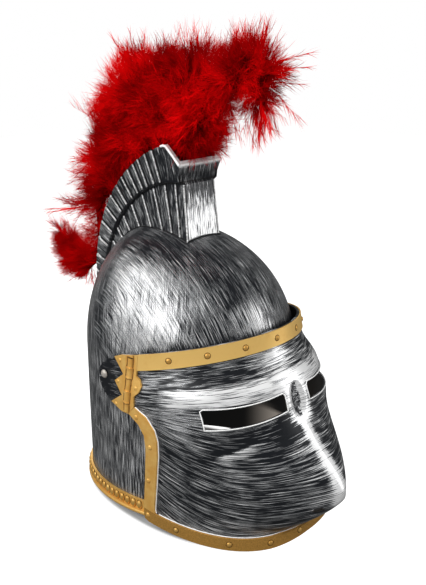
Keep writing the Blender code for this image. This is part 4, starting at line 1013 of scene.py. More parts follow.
# %% Make the rim band
RIM_BAND_HEIGHT, RIM_BAND_THICK, RIM_BAND_FRONT_Y, LIP_RADIUS = 15.5, 1.6, -35.5, 2.2
RIM_FACE = GAP + RIM_BAND_THICK


def rim_point(turn, out, up):
    """A point outside the skull's wall, a height above its lower edge."""
    low = rim_height(skull_plan(turn, RIM_HALF_WIDTH, RIM_HALF_LENGTH, RIM_MIDDLE_Y)[1])
    return skull_wall(turn, up / (SHOULDER_Z - low), -out)


def rim_start():
    """The turn at which the band ends on the wearer's left."""
    turns = np.linspace(0.2, math.pi, 2000)
    y = skull_plan(turns, RIM_HALF_WIDTH, RIM_HALF_LENGTH, RIM_MIDDLE_Y)[1]
    return float(turns[np.argmax(y > RIM_BAND_FRONT_Y)])


def make_rim_trim():
    lip = [
        (RIM_FACE + 0.8 + LIP_RADIUS * math.cos(t), LIP_RADIUS * (1.0 + math.sin(t)))
        for t in np.radians(np.linspace(-80.0, 90.0, 11))
    ]
    edge = RIM_FACE + 0.6
    profile = [(GAP, 0.0), *lip, (RIM_FACE, 4.6), (RIM_FACE, RIM_BAND_HEIGHT - 1.5)]
    profile += [(edge, RIM_BAND_HEIGHT - 1.2), (edge, RIM_BAND_HEIGHT), (GAP, RIM_BAND_HEIGHT)]
    first = rim_start()
    turns = np.linspace(first, 2.0 * math.pi - first, 150)
    sections = [[rim_point(np.array(t), d, h) for d, h in profile] for t in turns]
    trim = new_piece("rim_trim", *loft(sections))
    # painted shade on the recessed face of the channel behind the beads
    channel_shade = [0.3 if 4.0 < height < RIM_BAND_HEIGHT - 1.3 else 0.0 for _, height in profile]
    store(trim, "grime", channel_shade * len(turns))
    finish_piece(trim, gold_paint, BAND_SMOOTH_DEG, "helmet", "rim_band")


make_rim_trim()

# %% [markdown]
# Crest
# The crest is a tall comb that holds the plume, with two rows of plates that fan out from one point. So
# its places are given as a ray of that fan, in degrees, and a distance along it. The groove between the
# rows and the lip on top each follow an arc.

# %% Define the fan of the crest
FAN_Y, FAN_Z = -26.0, 143.0
GROOVE_ARC, LIP_ARC = (-14.0, 178.5, 128.0, 149.0), (-39.0, 204.0, 158.0, 164.0)
CREST_FRONT_DEG, CREST_PEAK_DEG, CREST_END_DEG = 88.0, 83.2, 17.0
CREST_FRONT_LIP = 202.3


def ray(deg):
    """The direction of one ray of the fan, as y and z."""
    return math.cos(math.radians(deg)), math.sin(math.radians(deg))


def crown_height(x, y):
    """Height of the dome's outer face over a point of the plan."""
    low, high = 1e-6, 1.0
    for _ in range(30):
        size = 0.5 * (low + high)
        centre = SKULL_MIDDLE_Y + CROWN_LEAN * (1.0 - size) ** CROWN_LEAN_POWER
        reach = abs(x / (SKULL_HALF_WIDTH * size)) ** PLAN_POWER
        reach += abs((y - centre) / (SKULL_HALF_LENGTH * size)) ** PLAN_POWER
        low, high = (size, high) if reach > 1.0 else (low, size)
    return SHOULDER_Z + CROWN_RISE * (1.0 - high**DOME_POWER) ** (1.0 / DOME_POWER)


def arc_reach(deg, arc):
    """How far a ray of the fan runs before it meets an arc."""
    middle_y, middle_z, radius_y, radius_z = arc
    along_y, along_z = ray(deg)
    from_y, from_z = FAN_Y - middle_y, FAN_Z - middle_z
    square = (along_y / radius_y) ** 2 + (along_z / radius_z) ** 2
    half = from_y * along_y / radius_y**2 + from_z * along_z / radius_z**2
    rest = (from_y / radius_y) ** 2 + (from_z / radius_z) ** 2 - 1.0
    return (math.sqrt(half * half - square * rest) - half) / square


def lip_reach(deg):
    """The lip follows its arc, and ramps down to the front."""
    peak = arc_reach(min(deg, CREST_PEAK_DEG), LIP_ARC)
    ramp = max(0.0, (deg - CREST_PEAK_DEG) / (CREST_FRONT_DEG - CREST_PEAK_DEG))
    return peak + (CREST_FRONT_LIP - peak) * ramp


def skull_reach(deg, x):
    """How far a ray of the fan, moved sideways by x, runs before it leaves the dome."""
    along_y, along_z = ray(deg)
    low, high = 80.0, 200.0
    for _ in range(20):
        reach = 0.5 * (low + high)
        y, z = FAN_Y + reach * along_y, FAN_Z + reach * along_z
        low, high = (reach, high) if z < crown_height(x, y) else (low, reach)
    return low


lip_height = FAN_Z + lip_reach(CREST_PEAK_DEG) * ray(CREST_PEAK_DEG)[1]
print("The crest's lip rises to", round(lip_height, 1), "mm")

# %% [markdown]
# Plates of the crest
# The crest is a loft through sections on the rays. At each rib a plate stands proud and then a narrow gap
# is sunk, so sections lie close together there. The front face isn't on a ray: it is a table of corners.

# %% Shape the crest
CREST_HALF_WIDTHS, CREST_REAR_SHARE = (22.4, 21.0, 24.6, 28.9), 0.86
CREST_FRONT = ((22.6, -22.2, 262.0), (21.0, -16.4, 325.4), (25.3, -14.5, 328.2), (28.9, -19.0, 345.0))
CREST_STEPS = (0.0, 0.06, 0.2, 0.35, 0.5, 0.65, 0.8, 0.94, 1.0, 2.0, 2.08, 2.4, 2.8, 2.9, 3.0)
UPPER_RIBS_DEG = (78.2, 75.2, 72.0, 69.5, 66.7, 63.2, 59.6, 55.4, 50.9, 45.7, 39.7, 33.3, 27.0, 21.0)
LOWER_RIBS_DEG = (83.6, 78.9, 73.4, 67.3, 60.6, 54.3, 48.4, 42.4, 36.4, 30.4)
RIB_RAISED, RIB_SUNK, RIB_STEPS_DEG, BEFORE_RIB_DEG = 0.5, 1.2, (-0.1, 0.25, 0.95), -0.9
RAMP_DEG = (85.6, 87.2)


def crest_narrowing(deg):
    """Share of the crest's front width that is left at a ray."""
    return 1.0 + (CREST_REAR_SHARE - 1.0) * (CREST_FRONT_DEG - deg) / (CREST_FRONT_DEG - CREST_END_DEG)


def plate_offset(deg, ribs):
    """How far a row of plates stands out at a ray."""
    knots, heights = [], []
    for rib in sorted(ribs):
        knots += [rib + step for step in RIB_STEPS_DEG]
        heights += [RIB_RAISED, -RIB_SUNK, 0.0]
    return float(np.interp(deg, knots, heights, left=0.0, right=0.0))


def fan_section(deg, corners):
    """A closed section on one ray: (x, distance) pairs up one side, mirrored down the other."""
    along_y, along_z = ray(deg)
    right = [(x, FAN_Y + r * along_y, FAN_Z + r * along_z) for x, r in corners]
    return right + [(-x, y, z) for x, y, z in right[::-1]]


def crest_corners(deg):
    """Half widths and distances up one side, with points between the corners for the paint."""
    thin = crest_narrowing(deg)
    low_row, high_row = plate_offset(deg, LOWER_RIBS_DEG), plate_offset(deg, UPPER_RIBS_DEG)
    lip = lip_reach(deg)
    groove = min(arc_reach(deg, GROOVE_ARC), lip - 1.5)
    base = min(skull_reach(deg, CREST_HALF_WIDTHS[0] * thin) - 1.0, groove - 3.0)
    foot, under, over, top = CREST_HALF_WIDTHS
    widths = (foot * thin + low_row, under * thin + low_row, over * thin + high_row, top * thin + high_row)
    reaches = (base, groove - 1.2, groove + 0.3, lip)
    return list(zip(np.interp(CREST_STEPS, range(4), widths), np.interp(CREST_STEPS, range(4), reaches)))


def crest_solid():
    stations = {CREST_PEAK_DEG, *RAMP_DEG, CREST_END_DEG}
    for rib in UPPER_RIBS_DEG + LOWER_RIBS_DEG:
        stations |= {rib + step for step in (*RIB_STEPS_DEG, BEFORE_RIB_DEG)}
    front = np.array(CREST_FRONT)
    rows = [[np.interp(step, range(4), front[:, axis]) for axis in range(3)] for step in CREST_STEPS]
    sections = [rows + [(-x, y, z) for x, y, z in rows[::-1]]]
    for deg in sorted(stations, reverse=True):
        sections.append(fan_section(deg, crest_corners(deg)))
    return loft(sections, mirrored=True)


print("The crest has", len(UPPER_RIBS_DEG + LOWER_RIBS_DEG), "ribs on each side")

# %% [markdown]
# Paint on the crest
# Each plate's edge is bright, and the gap after it and the groove are black. The front face is white and
# darkens under the lip. The rear plates have more paint than the front ones.

# %% Paint the crest


def near_rib(deg, ribs, step, ahead, behind):
    """1 at a step from each rib, fading over some degrees on either side."""
    best = np.zeros(len(deg))
    for rib in ribs:
        off = deg - rib - step
        best = np.maximum(best, np.clip(1.0 - np.where(off > 0.0, off / ahead, -off / behind), 0.0, 1.0))
    return best


def paint_crest(crest):
    """How much paint lies at each place, the strokes' direction, and the dark channel."""
    points, normals = corners_of(crest)
    x, y, z = points.T
    deg = np.degrees(np.arctan2(z - FAN_Z, y - FAN_Y))
    reach = np.hypot(z - FAN_Z, y - FAN_Y)
    groove = np.array([arc_reach(d, GROOVE_ARC) for d in deg])
    lip = np.array([lip_reach(d) for d in deg])
    raised, sunk = RIB_STEPS_DEG[0], RIB_STEPS_DEG[1]
    edge, gap = np.zeros(len(deg)), np.zeros(len(deg))
    for ribs, here in ((UPPER_RIBS_DEG, reach > groove - 0.4), (LOWER_RIBS_DEG, reach < groove - 0.6)):
        edge = np.where(here, near_rib(deg, ribs, raised, 0.35, 0.55), edge)
        gap = np.where(here, near_rib(deg, ribs, sunk, 0.7, 0.35), gap)
    rear = ease((66.0 - deg) / 25.0)
    cover = -0.12 + 0.45 * rear + 0.7 * edge - 1.7 * gap
    cover -= 1.6 * np.exp(-(((reach - groove + 0.4) / 0.9) ** 2))
    front = (normals[:, 1] < -0.8) & (y < -10.0)
    face_cover = 1.35 - 1.4 * ease((z - 290.0) / 28.0) + 2.0 * ease((z - 341.0) / 2.5)
    cover = np.where(front, face_cover, cover)
    top = (normals[:, 2] > 0.55) & (reach > lip - 2.5)
    cover = np.where(top, 2.6, cover)
    store(crest, "cover", cover)
    across = np.where(front, x, deg * 2.6)
    store(crest, "brush", np.column_stack([across, np.zeros(len(x)), reach]) * MM)
    sideways = np.abs(normals[:, 0]) > 0.6
    within = sideways & (np.sign(normals[:, 0]) != np.sign(x)) & (np.abs(x) > 3.0)
    floor = (normals[:, 2] > 0.3) & (reach < lip - 4.0) & (reach > groove)
    store(crest, "inside", (within | floor).astype(float))
    store(crest, "pale", np.zeros(len(x)))


# %% [markdown]
# Channel of the crest
# The plume stands in a trough: a second loft on the same rays, which a Boolean takes out of the top.

# %% Cut and finish the crest
CREST_WALL, CHANNEL_DEEP, CHANNEL_WALL = 3.2, 13.0, 4.0


def crest_channel():
    """The trough that holds the plume, cut down from the lip."""
    half_front = CREST_HALF_WIDTHS[-1] - CHANNEL_WALL
    front = ((half_front - 4.0, -10.8, 333.0), (half_front + 1.0, -17.4, 353.0))
    sections = [list(front) + [(-x, y, z) for x, y, z in front[::-1]]]
    for deg in [CREST_PEAK_DEG] + list(np.linspace(79.0, CREST_END_DEG - 3.0, 13)):
        within = max(deg, CREST_END_DEG)
        lip = lip_reach(within)
        floor = max(lip - CHANNEL_DEEP, skull_reach(within, 0.0) + CREST_WALL)
        half = CREST_HALF_WIDTHS[-1] * crest_narrowing(deg) - CHANNEL_WALL
        sections.append(fan_section(deg, ((half - 3.0, floor), (half + 1.5, lip + 8.0))))
    return loft(sections, mirrored=True)


def make_crest():
    crest = new_piece("crest", *crest_solid())
    cut(crest, "DIFFERENCE", [crest_channel()])
    paint_crest(crest)
    silver = brushed_silver("crest_silver", 0.7, 16.0, 2.4)
    finish_piece(crest, silver, 25.0, "helmet", "crest_holder")


make_crest()

# %% [markdown]
# Pivot rivets
# One rivet on each side holds the visor's arm to the skull, and the visor turns on the pair. It is made as
# on a lathe: a profile is carried round, from the flat head inside to the dome outside.

# %% Make the pivot rivets
PIN_RADIUS, HEAD_RADIUS, HEAD_HEIGHT, UNDER_HEAD = 2.5, 4.3, 2.6, 0.35
INNER_HEAD = (94.4, 95.8, 3.6)
DOME_SHARES = (0.2, 0.4, 0.6, 0.78, 0.9, 0.97, 0.997)


def make_pivot_rivet(name, side):
    ring = [(HEAD_RADIUS * math.cos(t), HEAD_RADIUS * math.sin(t)) for t in (0.0, 1.57, 3.14, 4.71)]
    under = UNDER_HEAD + max(side_x(PIVOT_Y + dy, PIVOT_Z + dz) for dy, dz in ring)
    inner_from, inner_to, inner_radius = INNER_HEAD
    profile = [(inner_from, inner_radius - 0.4), (inner_from + 0.4, inner_radius), (inner_to, inner_radius)]
    profile += [(inner_to, PIN_RADIUS), (under, PIN_RADIUS)]
    profile += [(under, HEAD_RADIUS - 0.2), (under + 0.25, HEAD_RADIUS)]
    for share in DOME_SHARES:
        profile.append((under + HEAD_HEIGHT * share, HEAD_RADIUS * math.sqrt(1.0 - share**2)))
    sections = []
    for out, radius in profile:
        turned = circle((PIVOT_Y, PIVOT_Z), (radius, radius), 32)
        sections.append([(side * out, y, z) for y, z in turned])
    rivet = new_piece("pivot_" + name, *loft(sections))
    finish_piece(rivet, pewter, 40.0, "helmet", "pivot_rivet_" + name)


make_pivot_rivet("left", 1.0)
make_pivot_rivet("right", -1.0)

# %% [markdown]
# Rivets, beads and tufts
# What repeats comes from one tree of Geometry Nodes. An array could place it too, but only in even rows.
# The tree puts a small shape on each point of a point mesh and turns it to face along the point's own
# "aim". Then it makes plain faces of the copies.

# %% Define the tree that sets copies on points


def start_tree(name, inputs):
    """A tree with named inputs of the given kinds, and its first node, which hands them on."""
    tree = bpy.data.node_groups.new(name, "GeometryNodeTree")
    for title, kind in inputs.items():
        tree.interface.new_socket(title, in_out="INPUT", socket_type="NodeSocket" + kind)
    tree.interface.new_socket("Geometry", in_out="OUTPUT", socket_type="NodeSocketGeometry")
    return tree, tree.nodes.new("NodeGroupInput")


def end_tree(tree, given, shown):
    """Makes plain faces of what the tree shows, sets the finish and hands the faces out."""
    add, link = tree.nodes.new, tree.links.new
    plain, paint = add("GeometryNodeRealizeInstances"), add("GeometryNodeSetMaterial")
    link(shown, plain.inputs["Geometry"])
    link(plain.outputs["Geometry"], paint.inputs["Geometry"])
    link(given.outputs["Finish"], paint.inputs["Material"])
    link(paint.outputs["Geometry"], add("NodeGroupOutput").inputs["Geometry"])
    print("The tree", tree.name, "has", len(tree.nodes), "nodes")
    return tree


def copies_tree():
    """Points with an aim and a size, and one shape, become turned and sized copies."""
    kinds = {"Points": "Geometry", "Shape": "Object", "Finish": "Material", "Size": "Float"}
    tree, given = start_tree("set_copies_on_points", kinds)
    add, link = tree.nodes.new, tree.links.new
    shape = add("GeometryNodeObjectInfo")
    link(given.outputs["Shape"], shape.inputs["Object"])
    read = {}
    for name, kind in (("aim", "FLOAT_VECTOR"), ("roll", "FLOAT"), ("size", "FLOAT")):
        read[name] = add("GeometryNodeInputNamedAttribute")
        read[name].data_type = kind
        read[name].inputs["Name"].default_value = name
    turn = add("FunctionNodeAlignRotationToVector")
    turn.axis = "Z"
    link(read["aim"].outputs["Attribute"], turn.inputs["Vector"])
    spin = add("FunctionNodeAxisAngleToRotation")
    spin.inputs["Axis"].default_value = (0.0, 0.0, 1.0)
    link(read["roll"].outputs["Attribute"], spin.inputs["Angle"])
    both = add("FunctionNodeRotateRotation")
    both.rotation_space = "LOCAL"
    link(turn.outputs["Rotation"], both.inputs["Rotation"])
    link(spin.outputs["Rotation"], both.inputs["Rotate By"])
    size = add("ShaderNodeMath")
    size.operation = "MULTIPLY"
    link(read["size"].outputs["Attribute"], size.inputs[0])
    link(given.outputs["Size"], size.inputs[1])
    place = add("GeometryNodeInstanceOnPoints")
    link(given.outputs["Points"], place.inputs["Points"])
    link(shape.outputs["Geometry"], place.inputs["Instance"])
    link(both.outputs["Rotation"], place.inputs["Rotation"])
    link(size.outputs[0], place.inputs["Scale"])
    return end_tree(tree, given, place.outputs["Instances"])


set_copies = copies_tree()

# %% [markdown]
# Running a tree
# A modifier runs a tree. Each of its inputs is set by the identifier that belongs to the input's name, and
# the result is kept as a plain mesh. The small shapes themselves are made as on a lathe.

# %% Run the tree and make small shapes
COPY_SMOOTH_DEG = 60.0


def run_tree(piece, tree, inputs):
    """Applies a tree to a piece, with a value for each of the named inputs."""
    step = piece.modifiers.new(tree.name, "NODES")
    step.node_group = tree
    sockets = [item for item in tree.interface.items_tree if item.in_out == "INPUT"]
    named = {socket.name: socket.identifier for socket in sockets}
    for name, value in inputs.items():
        step[named[name]] = value
    keep_as_mesh(piece)


def copies(name, shape, places, aims, material, body, sizes=None, rolls=None, extra=()):
    """Sets a copy of a shape on each place and keeps them all as one plain mesh."""
    count = len(places)
    points = new_piece(name, places, [])
    store(points, "aim", aims)
    store(points, "size", np.ones(count) if sizes is None else sizes)
    store(points, "roll", np.zeros(count) if rolls is None else rolls)
    for key, values in dict(extra).items():
        store(points, key, values)
    run_tree(points, set_copies, {"Shape": shape, "Finish": material, "Size": 1.0})
    for spare in ("aim", "size", "roll"):
        if spare in points.data.attributes:
            points.data.attributes.remove(points.data.attributes[spare])
    finish_piece(points, material, COPY_SMOOTH_DEG, body)


def turned_shape(name, profile, sides, stretch=1.0):
    """A shape round Z from (radius, height, painted shading) rows in millimetres, closed at both ends."""
    sections = []
    for radius, height, _ in profile:
        ring = circle((0.0, 0.0), (radius, radius), sides)
        sections.append([(x * stretch, y, height) for x, y in ring])
    made = new_piece(name, *loft(sections))
    # the head's place is taken off again: the points have it already
    made.data.transform(Matrix.Translation((0.0, -PLACE_Y * MM, 0.0)))
    store(made, "grime", [grime for _, _, grime in profile for _ in range(sides)])
    made.hide_render = True
    return made


def dome_profile(radius, height, sink=0.7, skirt=0.55):
    """A skirt of painted shadow round the foot, then a gold dome."""
    # the skirt and the dome's lowest row are painted shadow round the rivet's foot
    rows = [(radius + skirt, -sink, 1.0), (radius + skirt, 0.08, 0.8), (radius + 0.05, 0.12, 1.2)]
    for share in (0.12, 0.35, 0.6, 0.8, 0.93, 0.99):
        rows.append((radius * math.sqrt(1.0 - share**2), height * share, 0.35 if share < 0.2 else 0.0))
    return rows


# %% [markdown]
# Thin lines
# A worn edge catches light, and a joint between two parts stays dark. Here the worn edges are made white
# as painted highlights, and some dark lines are painted shade. Both could be painted on, but a thin round
# bead stays sharp. One more tree does them all: edges become a curve, and a circle follows it.

# %% Define the tree that draws a bead along a path
BEAD_SIDES = 8


def bead_tree():
    """Edges become a round bead of a given radius."""
    kinds = {"Path": "Geometry", "Radius": "Float", "Finish": "Material"}
    tree, given = start_tree("bead_along_path", kinds)
    add, link = tree.nodes.new, tree.links.new
    curve, ring = add("GeometryNodeMeshToCurve"), add("GeometryNodeCurvePrimitiveCircle")
    ring.inputs["Resolution"].default_value = BEAD_SIDES
    link(given.outputs["Path"], curve.inputs["Mesh"])
    link(given.outputs["Radius"], ring.inputs["Radius"])
    tube = add("GeometryNodeCurveToMesh")
    tube.inputs["Fill Caps"].default_value = True
    link(curve.outputs["Curve"], tube.inputs["Curve"])
    link(ring.outputs["Curve"], tube.inputs["Profile Curve"])
    return end_tree(tree, given, tube.outputs["Mesh"])


draw_bead = bead_tree()


def beads(name, paths, radius, material, body, closed=False):
    """Draws one bead along each path of points in head millimetres."""
    points, edges = [], []
    for path in paths:
        first = len(points)
        points += [tuple(point) for point in path]
        edges += [(k, k + 1) for k in range(first, len(points) - 1)]
        if closed:
            edges.append((len(points) - 1, first))
    mesh = bpy.data.meshes.new(name)
    mesh.from_pydata(to_world(points).tolist(), edges, [])
    piece = add_object(name, mesh)
    run_tree(piece, draw_bead, {"Radius": radius * MM, "Finish": material})
    finish_piece(piece, material, COPY_SMOOTH_DEG, body)


# %% [markdown]
# Bright and dark lines of the visor
# The slits have thin silver lips, dropped onto the face by rays from the front. These lips and the worn
# bright lines in front of the cheek bands and over the chin band are made white as painted highlights.
# Brown lines of painted shade lie beside the hinge barrels.

# %% Draw the visor's lines
SLIT_LIP_RADIUS, EDGE_RADIUS, HINGE_LINE_RADIUS = 0.6, 0.5, 0.4
RING_HALF_WIDTH, RING_HEIGHT = BARREL_RADIUS + 1.0, BAND_THICK + BARREL_PROUD + 1.15


def between(path, spacing):
    """Adds points along the straight parts of a path."""
    dense = []
    for a, b in zip(path[:-1], path[1:]):
        a, b = np.array(a, float), np.array(b, float)
        count = max(1, int(np.linalg.norm(b - a) / spacing))
        dense += [a + (b - a) * k / count for k in range(count)]
    return dense + [np.array(path[-1], float)]


def slit_lips():
    probe = new_piece("probe", *visor_layer(-VISOR_WALL, 0.0, 0.5, 0.95, 60, 80))
    bpy.context.view_layer.update()
    paths = []
    outlines = [[(side * x, z) for x, z in between([*SLIT, SLIT[0]], 2.0)[:-1]] for side in (1.0, -1.0)]
    for outline in outlines:
        path = []
        for x, z in outline:
            start = Vector((x, -300.0 + PLACE_Y, z)) * MM
            hit, where, _, _ = probe.ray_cast(start, Vector((0.0, 1.0, 0.0)))
            if hit:
                path.append(np.array(where) / MM - (0.0, PLACE_Y, 0.0))
        paths.append(path)
    bpy.data.objects.remove(probe)
    beads("slit_lips", paths, SLIT_LIP_RADIUS, edge_silver, "visor", closed=True)


def band_edge_lines():
    paths = []
    front = between([*CHEEK_FRONT, cheek_foot[0]], 4.0)
    for side in (1.0, -1.0):
        path = []
        for y, z in front:
            point, out = on_side(side, y - 0.5, z)
            path.append(point + out * 0.2)
        paths.append(path)
    chin = []
    for distance in np.arange(-188.0, 189.0, 4.0):
        distance = distance if distance else 0.5
        share = 0.12
        for _ in range(3):
            point, out = on_row(distance, share)
            share = (CHIN_BAND_HEIGHT + 0.5) / (brow_line(point[1]) - chin_line(point[1]))
        if point[1] < cheek_foot[0][0] - 1.0:
            chin.append(point + out * 0.2)
    paths.append(chin)
    beads("band_edge_lines", paths, EDGE_RADIUS, edge_silver, "visor")


def hinge_lines():
    """Brown lines of painted shade beside the barrels and under each knuckle, and bright rims on top."""
    run = BARREL_FOOT - BARREL_TOP
    along = np.array((0.0, *run)) / np.linalg.norm(run)
    paths, rims = [], []
    for side in (1.0, -1.0):
        for beside in (-1.0, 1.0):
            path = []
            for share in np.linspace(0.0, 1.0, 40):
                in_knuckle = any(first < share < last for first, last in KNUCKLES)
                offset = BARREL_RADIUS + (1.2 if in_knuckle else 0.4)
                point, out = on_side(side, *(BARREL_TOP + run * share))
                across = np.cross(out, along) * beside * offset
                path.append(point + out * (GAP + BAND_THICK + 0.1) + across)
            paths.append(path)
        for share, kept in [(k[0], rims) for k in KNUCKLES] + [(k[1], paths) for k in KNUCKLES]:
            point, out = on_side(side, *(BARREL_TOP + run * share))
            across, tall = np.cross(out, along) * RING_HALF_WIDTH, RING_HEIGHT
            ring = []
            for turn in np.linspace(0.05, math.pi - 0.05, 11):
                ring.append(point + out * (GAP + tall * math.sin(turn)) + across * math.cos(turn))
            kept.append(ring)
    # brown beads of painted shade beside the barrels and under the knuckles
    beads("hinge_grime", paths, HINGE_LINE_RADIUS, brown_grime, "visor")
    beads("hinge_bright_rims", rims, HINGE_LINE_RADIUS, polished_gold, "visor")


# %% [markdown]
# Rivets on the bands and beads on the rim
# Domed rivets sit at measured distances round the brow and the chin, and at points of the side view on the
# cheeks and the hinge leaves. The rim's channel holds a row of oval beads with an even pitch.

# %% Set the rivets and the beads
RIVET_RADIUS, RIVET_HEIGHT = 2.5, 1.5
BROW_RIVETS = (-110.0, -75.0, -40.0, -5.0, 30.0, 65.0, 100.0)
CHIN_RIVETS = (-137.0, -86.0, -47.0, -12.0, 25.0, 62.0, 99.0, 140.0)
SIDE_RIVETS = ((-36.8, 123.0), (-52.4, 96.6), (-49.2, 60.7), (-46.6, 22.6))
LEAF_RIVETS = ((-12.2, 172.0), (-9.8, 150.4), (-7.1, 126.8), (-34.6, 150.4))
BEAD_PITCH, BEAD_RADIUS, BEAD_HEIGHT, BEAD_TALL, BEAD_Z = 8.6, 3.4, 2.7, 1.35, 9.4


def on_row(distance, share):
    """A point at a distance round the visor from its middle and the outward direction there."""
    side = 1.0 if distance > 0.0 else -1.0
    around = abs(distance) + np.array((-2.0, 0.0, 2.0))
    rows = []
    for near in (share - 0.01, share, share + 0.01):
        rows.append(visor_row(near, lambda whole: around) * (side, 1.0, 1.0))
    out = np.cross((rows[1][2] - rows[1][0]) * side, rows[2][1] - rows[0][1])
    return rows[1][1], out / np.linalg.norm(out)


def set_visor_rivets():
    places, aims = [], []
    brow, chin = (BROW_RIVETS, 1.0, -BROW_BAND_HEIGHT), (CHIN_RIVETS, 0.0, CHIN_BAND_HEIGHT)
    for distances, edge, height in (brow, chin):
        for distance in distances:
            point = (0.0, -100.0)
            for _ in range(2):
                share = edge + 0.5 * height / (brow_line(point[1]) - chin_line(point[1]))
                point, out = on_row(distance, share)
            places.append(point + out * (GAP + BAND_THICK))
            aims.append(out)
    rivet = turned_shape("rivet_shape", dome_profile(RIVET_RADIUS, RIVET_HEIGHT), 20)
    copies("band_rivets", rivet, places, aims, polished_gold, "visor")
    places, aims, sizes = [], [], []
    for side in (-1.0, 1.0):
        for table, size in ((SIDE_RIVETS, 0.95), (LEAF_RIVETS, 0.8)):
            for y, z in table:
                point, out = on_side(side, y, z)
                places.append(point + out * (GAP + BAND_THICK - 0.1))
                aims.append(out)
                sizes.append(size)
    # the side rivets' painted shadow is fainter
    faint = [(r, h, g * 0.45) for r, h, g in dome_profile(RIVET_RADIUS, RIVET_HEIGHT * 0.8)]
    faint_rivet = turned_shape("faint_rivet_shape", faint, 20)
    copies("side_rivets", faint_rivet, places, aims, gold_paint, "visor", sizes=sizes)


def set_rim_beads():
    first = rim_start()
    fine = np.linspace(first, 2.0 * math.pi - first, 1500)
    track = rim_point(fine, RIM_FACE, np.full(len(fine), BEAD_Z))
    run = np.concatenate([[0.0], np.cumsum(np.linalg.norm(np.diff(track, axis=0), axis=1))])
    count = int((run[-1] - 2.0 * BEAD_RADIUS) / BEAD_PITCH)
    start = 0.5 * (run[-1] - (count - 1) * BEAD_PITCH)
    places, aims = [], []
    for k in range(count):
        turn = np.interp(start + k * BEAD_PITCH, run, fine)
        places.append(rim_point(turn, RIM_FACE, BEAD_Z))
        aims.append(rim_point(turn, RIM_FACE + 1.0, BEAD_Z) - places[-1])
    bead = turned_shape("bead_shape", dome_profile(BEAD_RADIUS, BEAD_HEIGHT, 0.3, 0.4), 16, BEAD_TALL)
    upright = np.array([math.atan2(a[1], a[0]) for a in aims])
    copies("rim_beads", bead, places, aims, polished_gold, "helmet", rolls=upright)
    print("The rim has", count, "beads")


set_visor_rivets()
set_rim_beads()
slit_lips()
band_edge_lines()
hinge_lines()

# %% [markdown]
# Bright lines of the crest
# On the crest every plate's raised edge, the front corners and the lip are worn to bright silver, made
# white as a painted highlight. A black line lies in each gap and along the groove, a line of painted
# shadow runs round the foot, and three small dark discs on each side are painted shade in small holes.

# %% Draw the crest's lines
RIB_LINE_RADIUS, GAP_LINE_RADIUS, LIP_LINE_RADIUS, FOOT_LINE_RADIUS = 0.78, 0.75, 1.3, 0.9
SHORTEST_LINE = 4.0
CREST_DOTS = ((20.9, 16.1, 316.5), (20.1, 68.6, 284.1), (22.4, -10.5, 282.7))


def on_crest(deg, reach, side):
    """A point on the crest's side."""
    corners = crest_corners(deg)
    x = float(np.interp(reach, [c[1] for c in corners], [c[0] for c in corners]))
    along_y, along_z = ray(deg)
    return np.array((side * x, FAN_Y + reach * along_y, FAN_Z + reach * along_z))


def crest_lines():
    paths, gaps, lips = [], [], []
    for side in (1.0, -1.0):
        for ribs, upper in ((UPPER_RIBS_DEG, True), (LOWER_RIBS_DEG, False)):
            for rib in ribs:
                deg = rib + RIB_STEPS_DEG[0] - 0.05
                groove, lip = arc_reach(deg, GROOVE_ARC), lip_reach(deg)
                foot = crest_corners(deg)[0][1]
                low, high = (groove + 1.2, lip - 0.6) if upper else (foot + 2.0, groove - 2.4)
                if high - low > SHORTEST_LINE:
                    reaches = np.linspace(low, high, 6)
                    sunk = rib + RIB_STEPS_DEG[1] + 0.3
                    paths.append([on_crest(deg, r, side) - (side * 0.2, 0.0, 0.0) for r in reaches])
                    gaps.append([on_crest(sunk, r, side) - (side * 0.1, 0.0, 0.0) for r in reaches])
        paths.append([(side * (x - 0.3), y + 0.3, z) for x, y, z in CREST_FRONT[:2]])
        gaps.append([(side * (x - 1.9), y + 0.45, z) for x, y, z in CREST_FRONT[:2]])
        grooves = np.linspace(CREST_FRONT_DEG - 1.0, CREST_END_DEG + 2.0, 50)
        gaps.append([on_crest(deg, arc_reach(deg, GROOVE_ARC) - 0.6, side) for deg in grooves])
        degs = np.linspace(CREST_FRONT_DEG, CREST_PEAK_DEG - 1.5, 8)
        lips.append([on_crest(deg, lip_reach(deg) - 0.4, side) for deg in degs])
    _, front_y, front_z = CREST_FRONT[-1]
    lips.append([(x, front_y + 0.5, front_z - 0.5) for x in np.linspace(-28.5, 28.5, 12)])
    beads("crest_rib_lines", paths, RIB_LINE_RADIUS, worn_silver, "helmet")
    beads("crest_gap_lines", gaps, GAP_LINE_RADIUS, dark_hole, "helmet")
    beads("crest_lip_lines", lips, LIP_LINE_RADIUS, edge_silver, "helmet")
    # a painted shadow line round the crest's foot, where it meets the skull
    foot = []
    for side in (1.0, -1.0):
        degs = np.linspace(CREST_FRONT_DEG - 0.5, 27.0, 40)
        foot.append([on_crest(deg, crest_corners(deg)[0][1] + 1.4, side) for deg in degs])
    half, front_y, _ = CREST_FRONT[0]
    foot.append([(x, front_y - 0.3, crown_height(x, front_y) + 0.5) for x in np.linspace(-half, half, 12)])
    beads("crest_foot_line", foot, FOOT_LINE_RADIUS, dark_hole, "helmet")


def crest_dots():
    places = [(side * x, y, z) for side in (-1.0, 1.0) for x, y, z in CREST_DOTS]
    aims = [(side, 0.0, 0.0) for side in (-1.0, 1.0) for _ in CREST_DOTS]
    # dark discs of painted shade that stand for small holes
    dot = turned_shape("dot_shape", [(1.5, -0.5, 1.0), (1.5, 0.1, 1.0), (0.9, 0.25, 1.0)], 16)
    copies("crest_dots", dot, places, aims, dark_hole, "helmet")


crest_lines()
crest_dots()

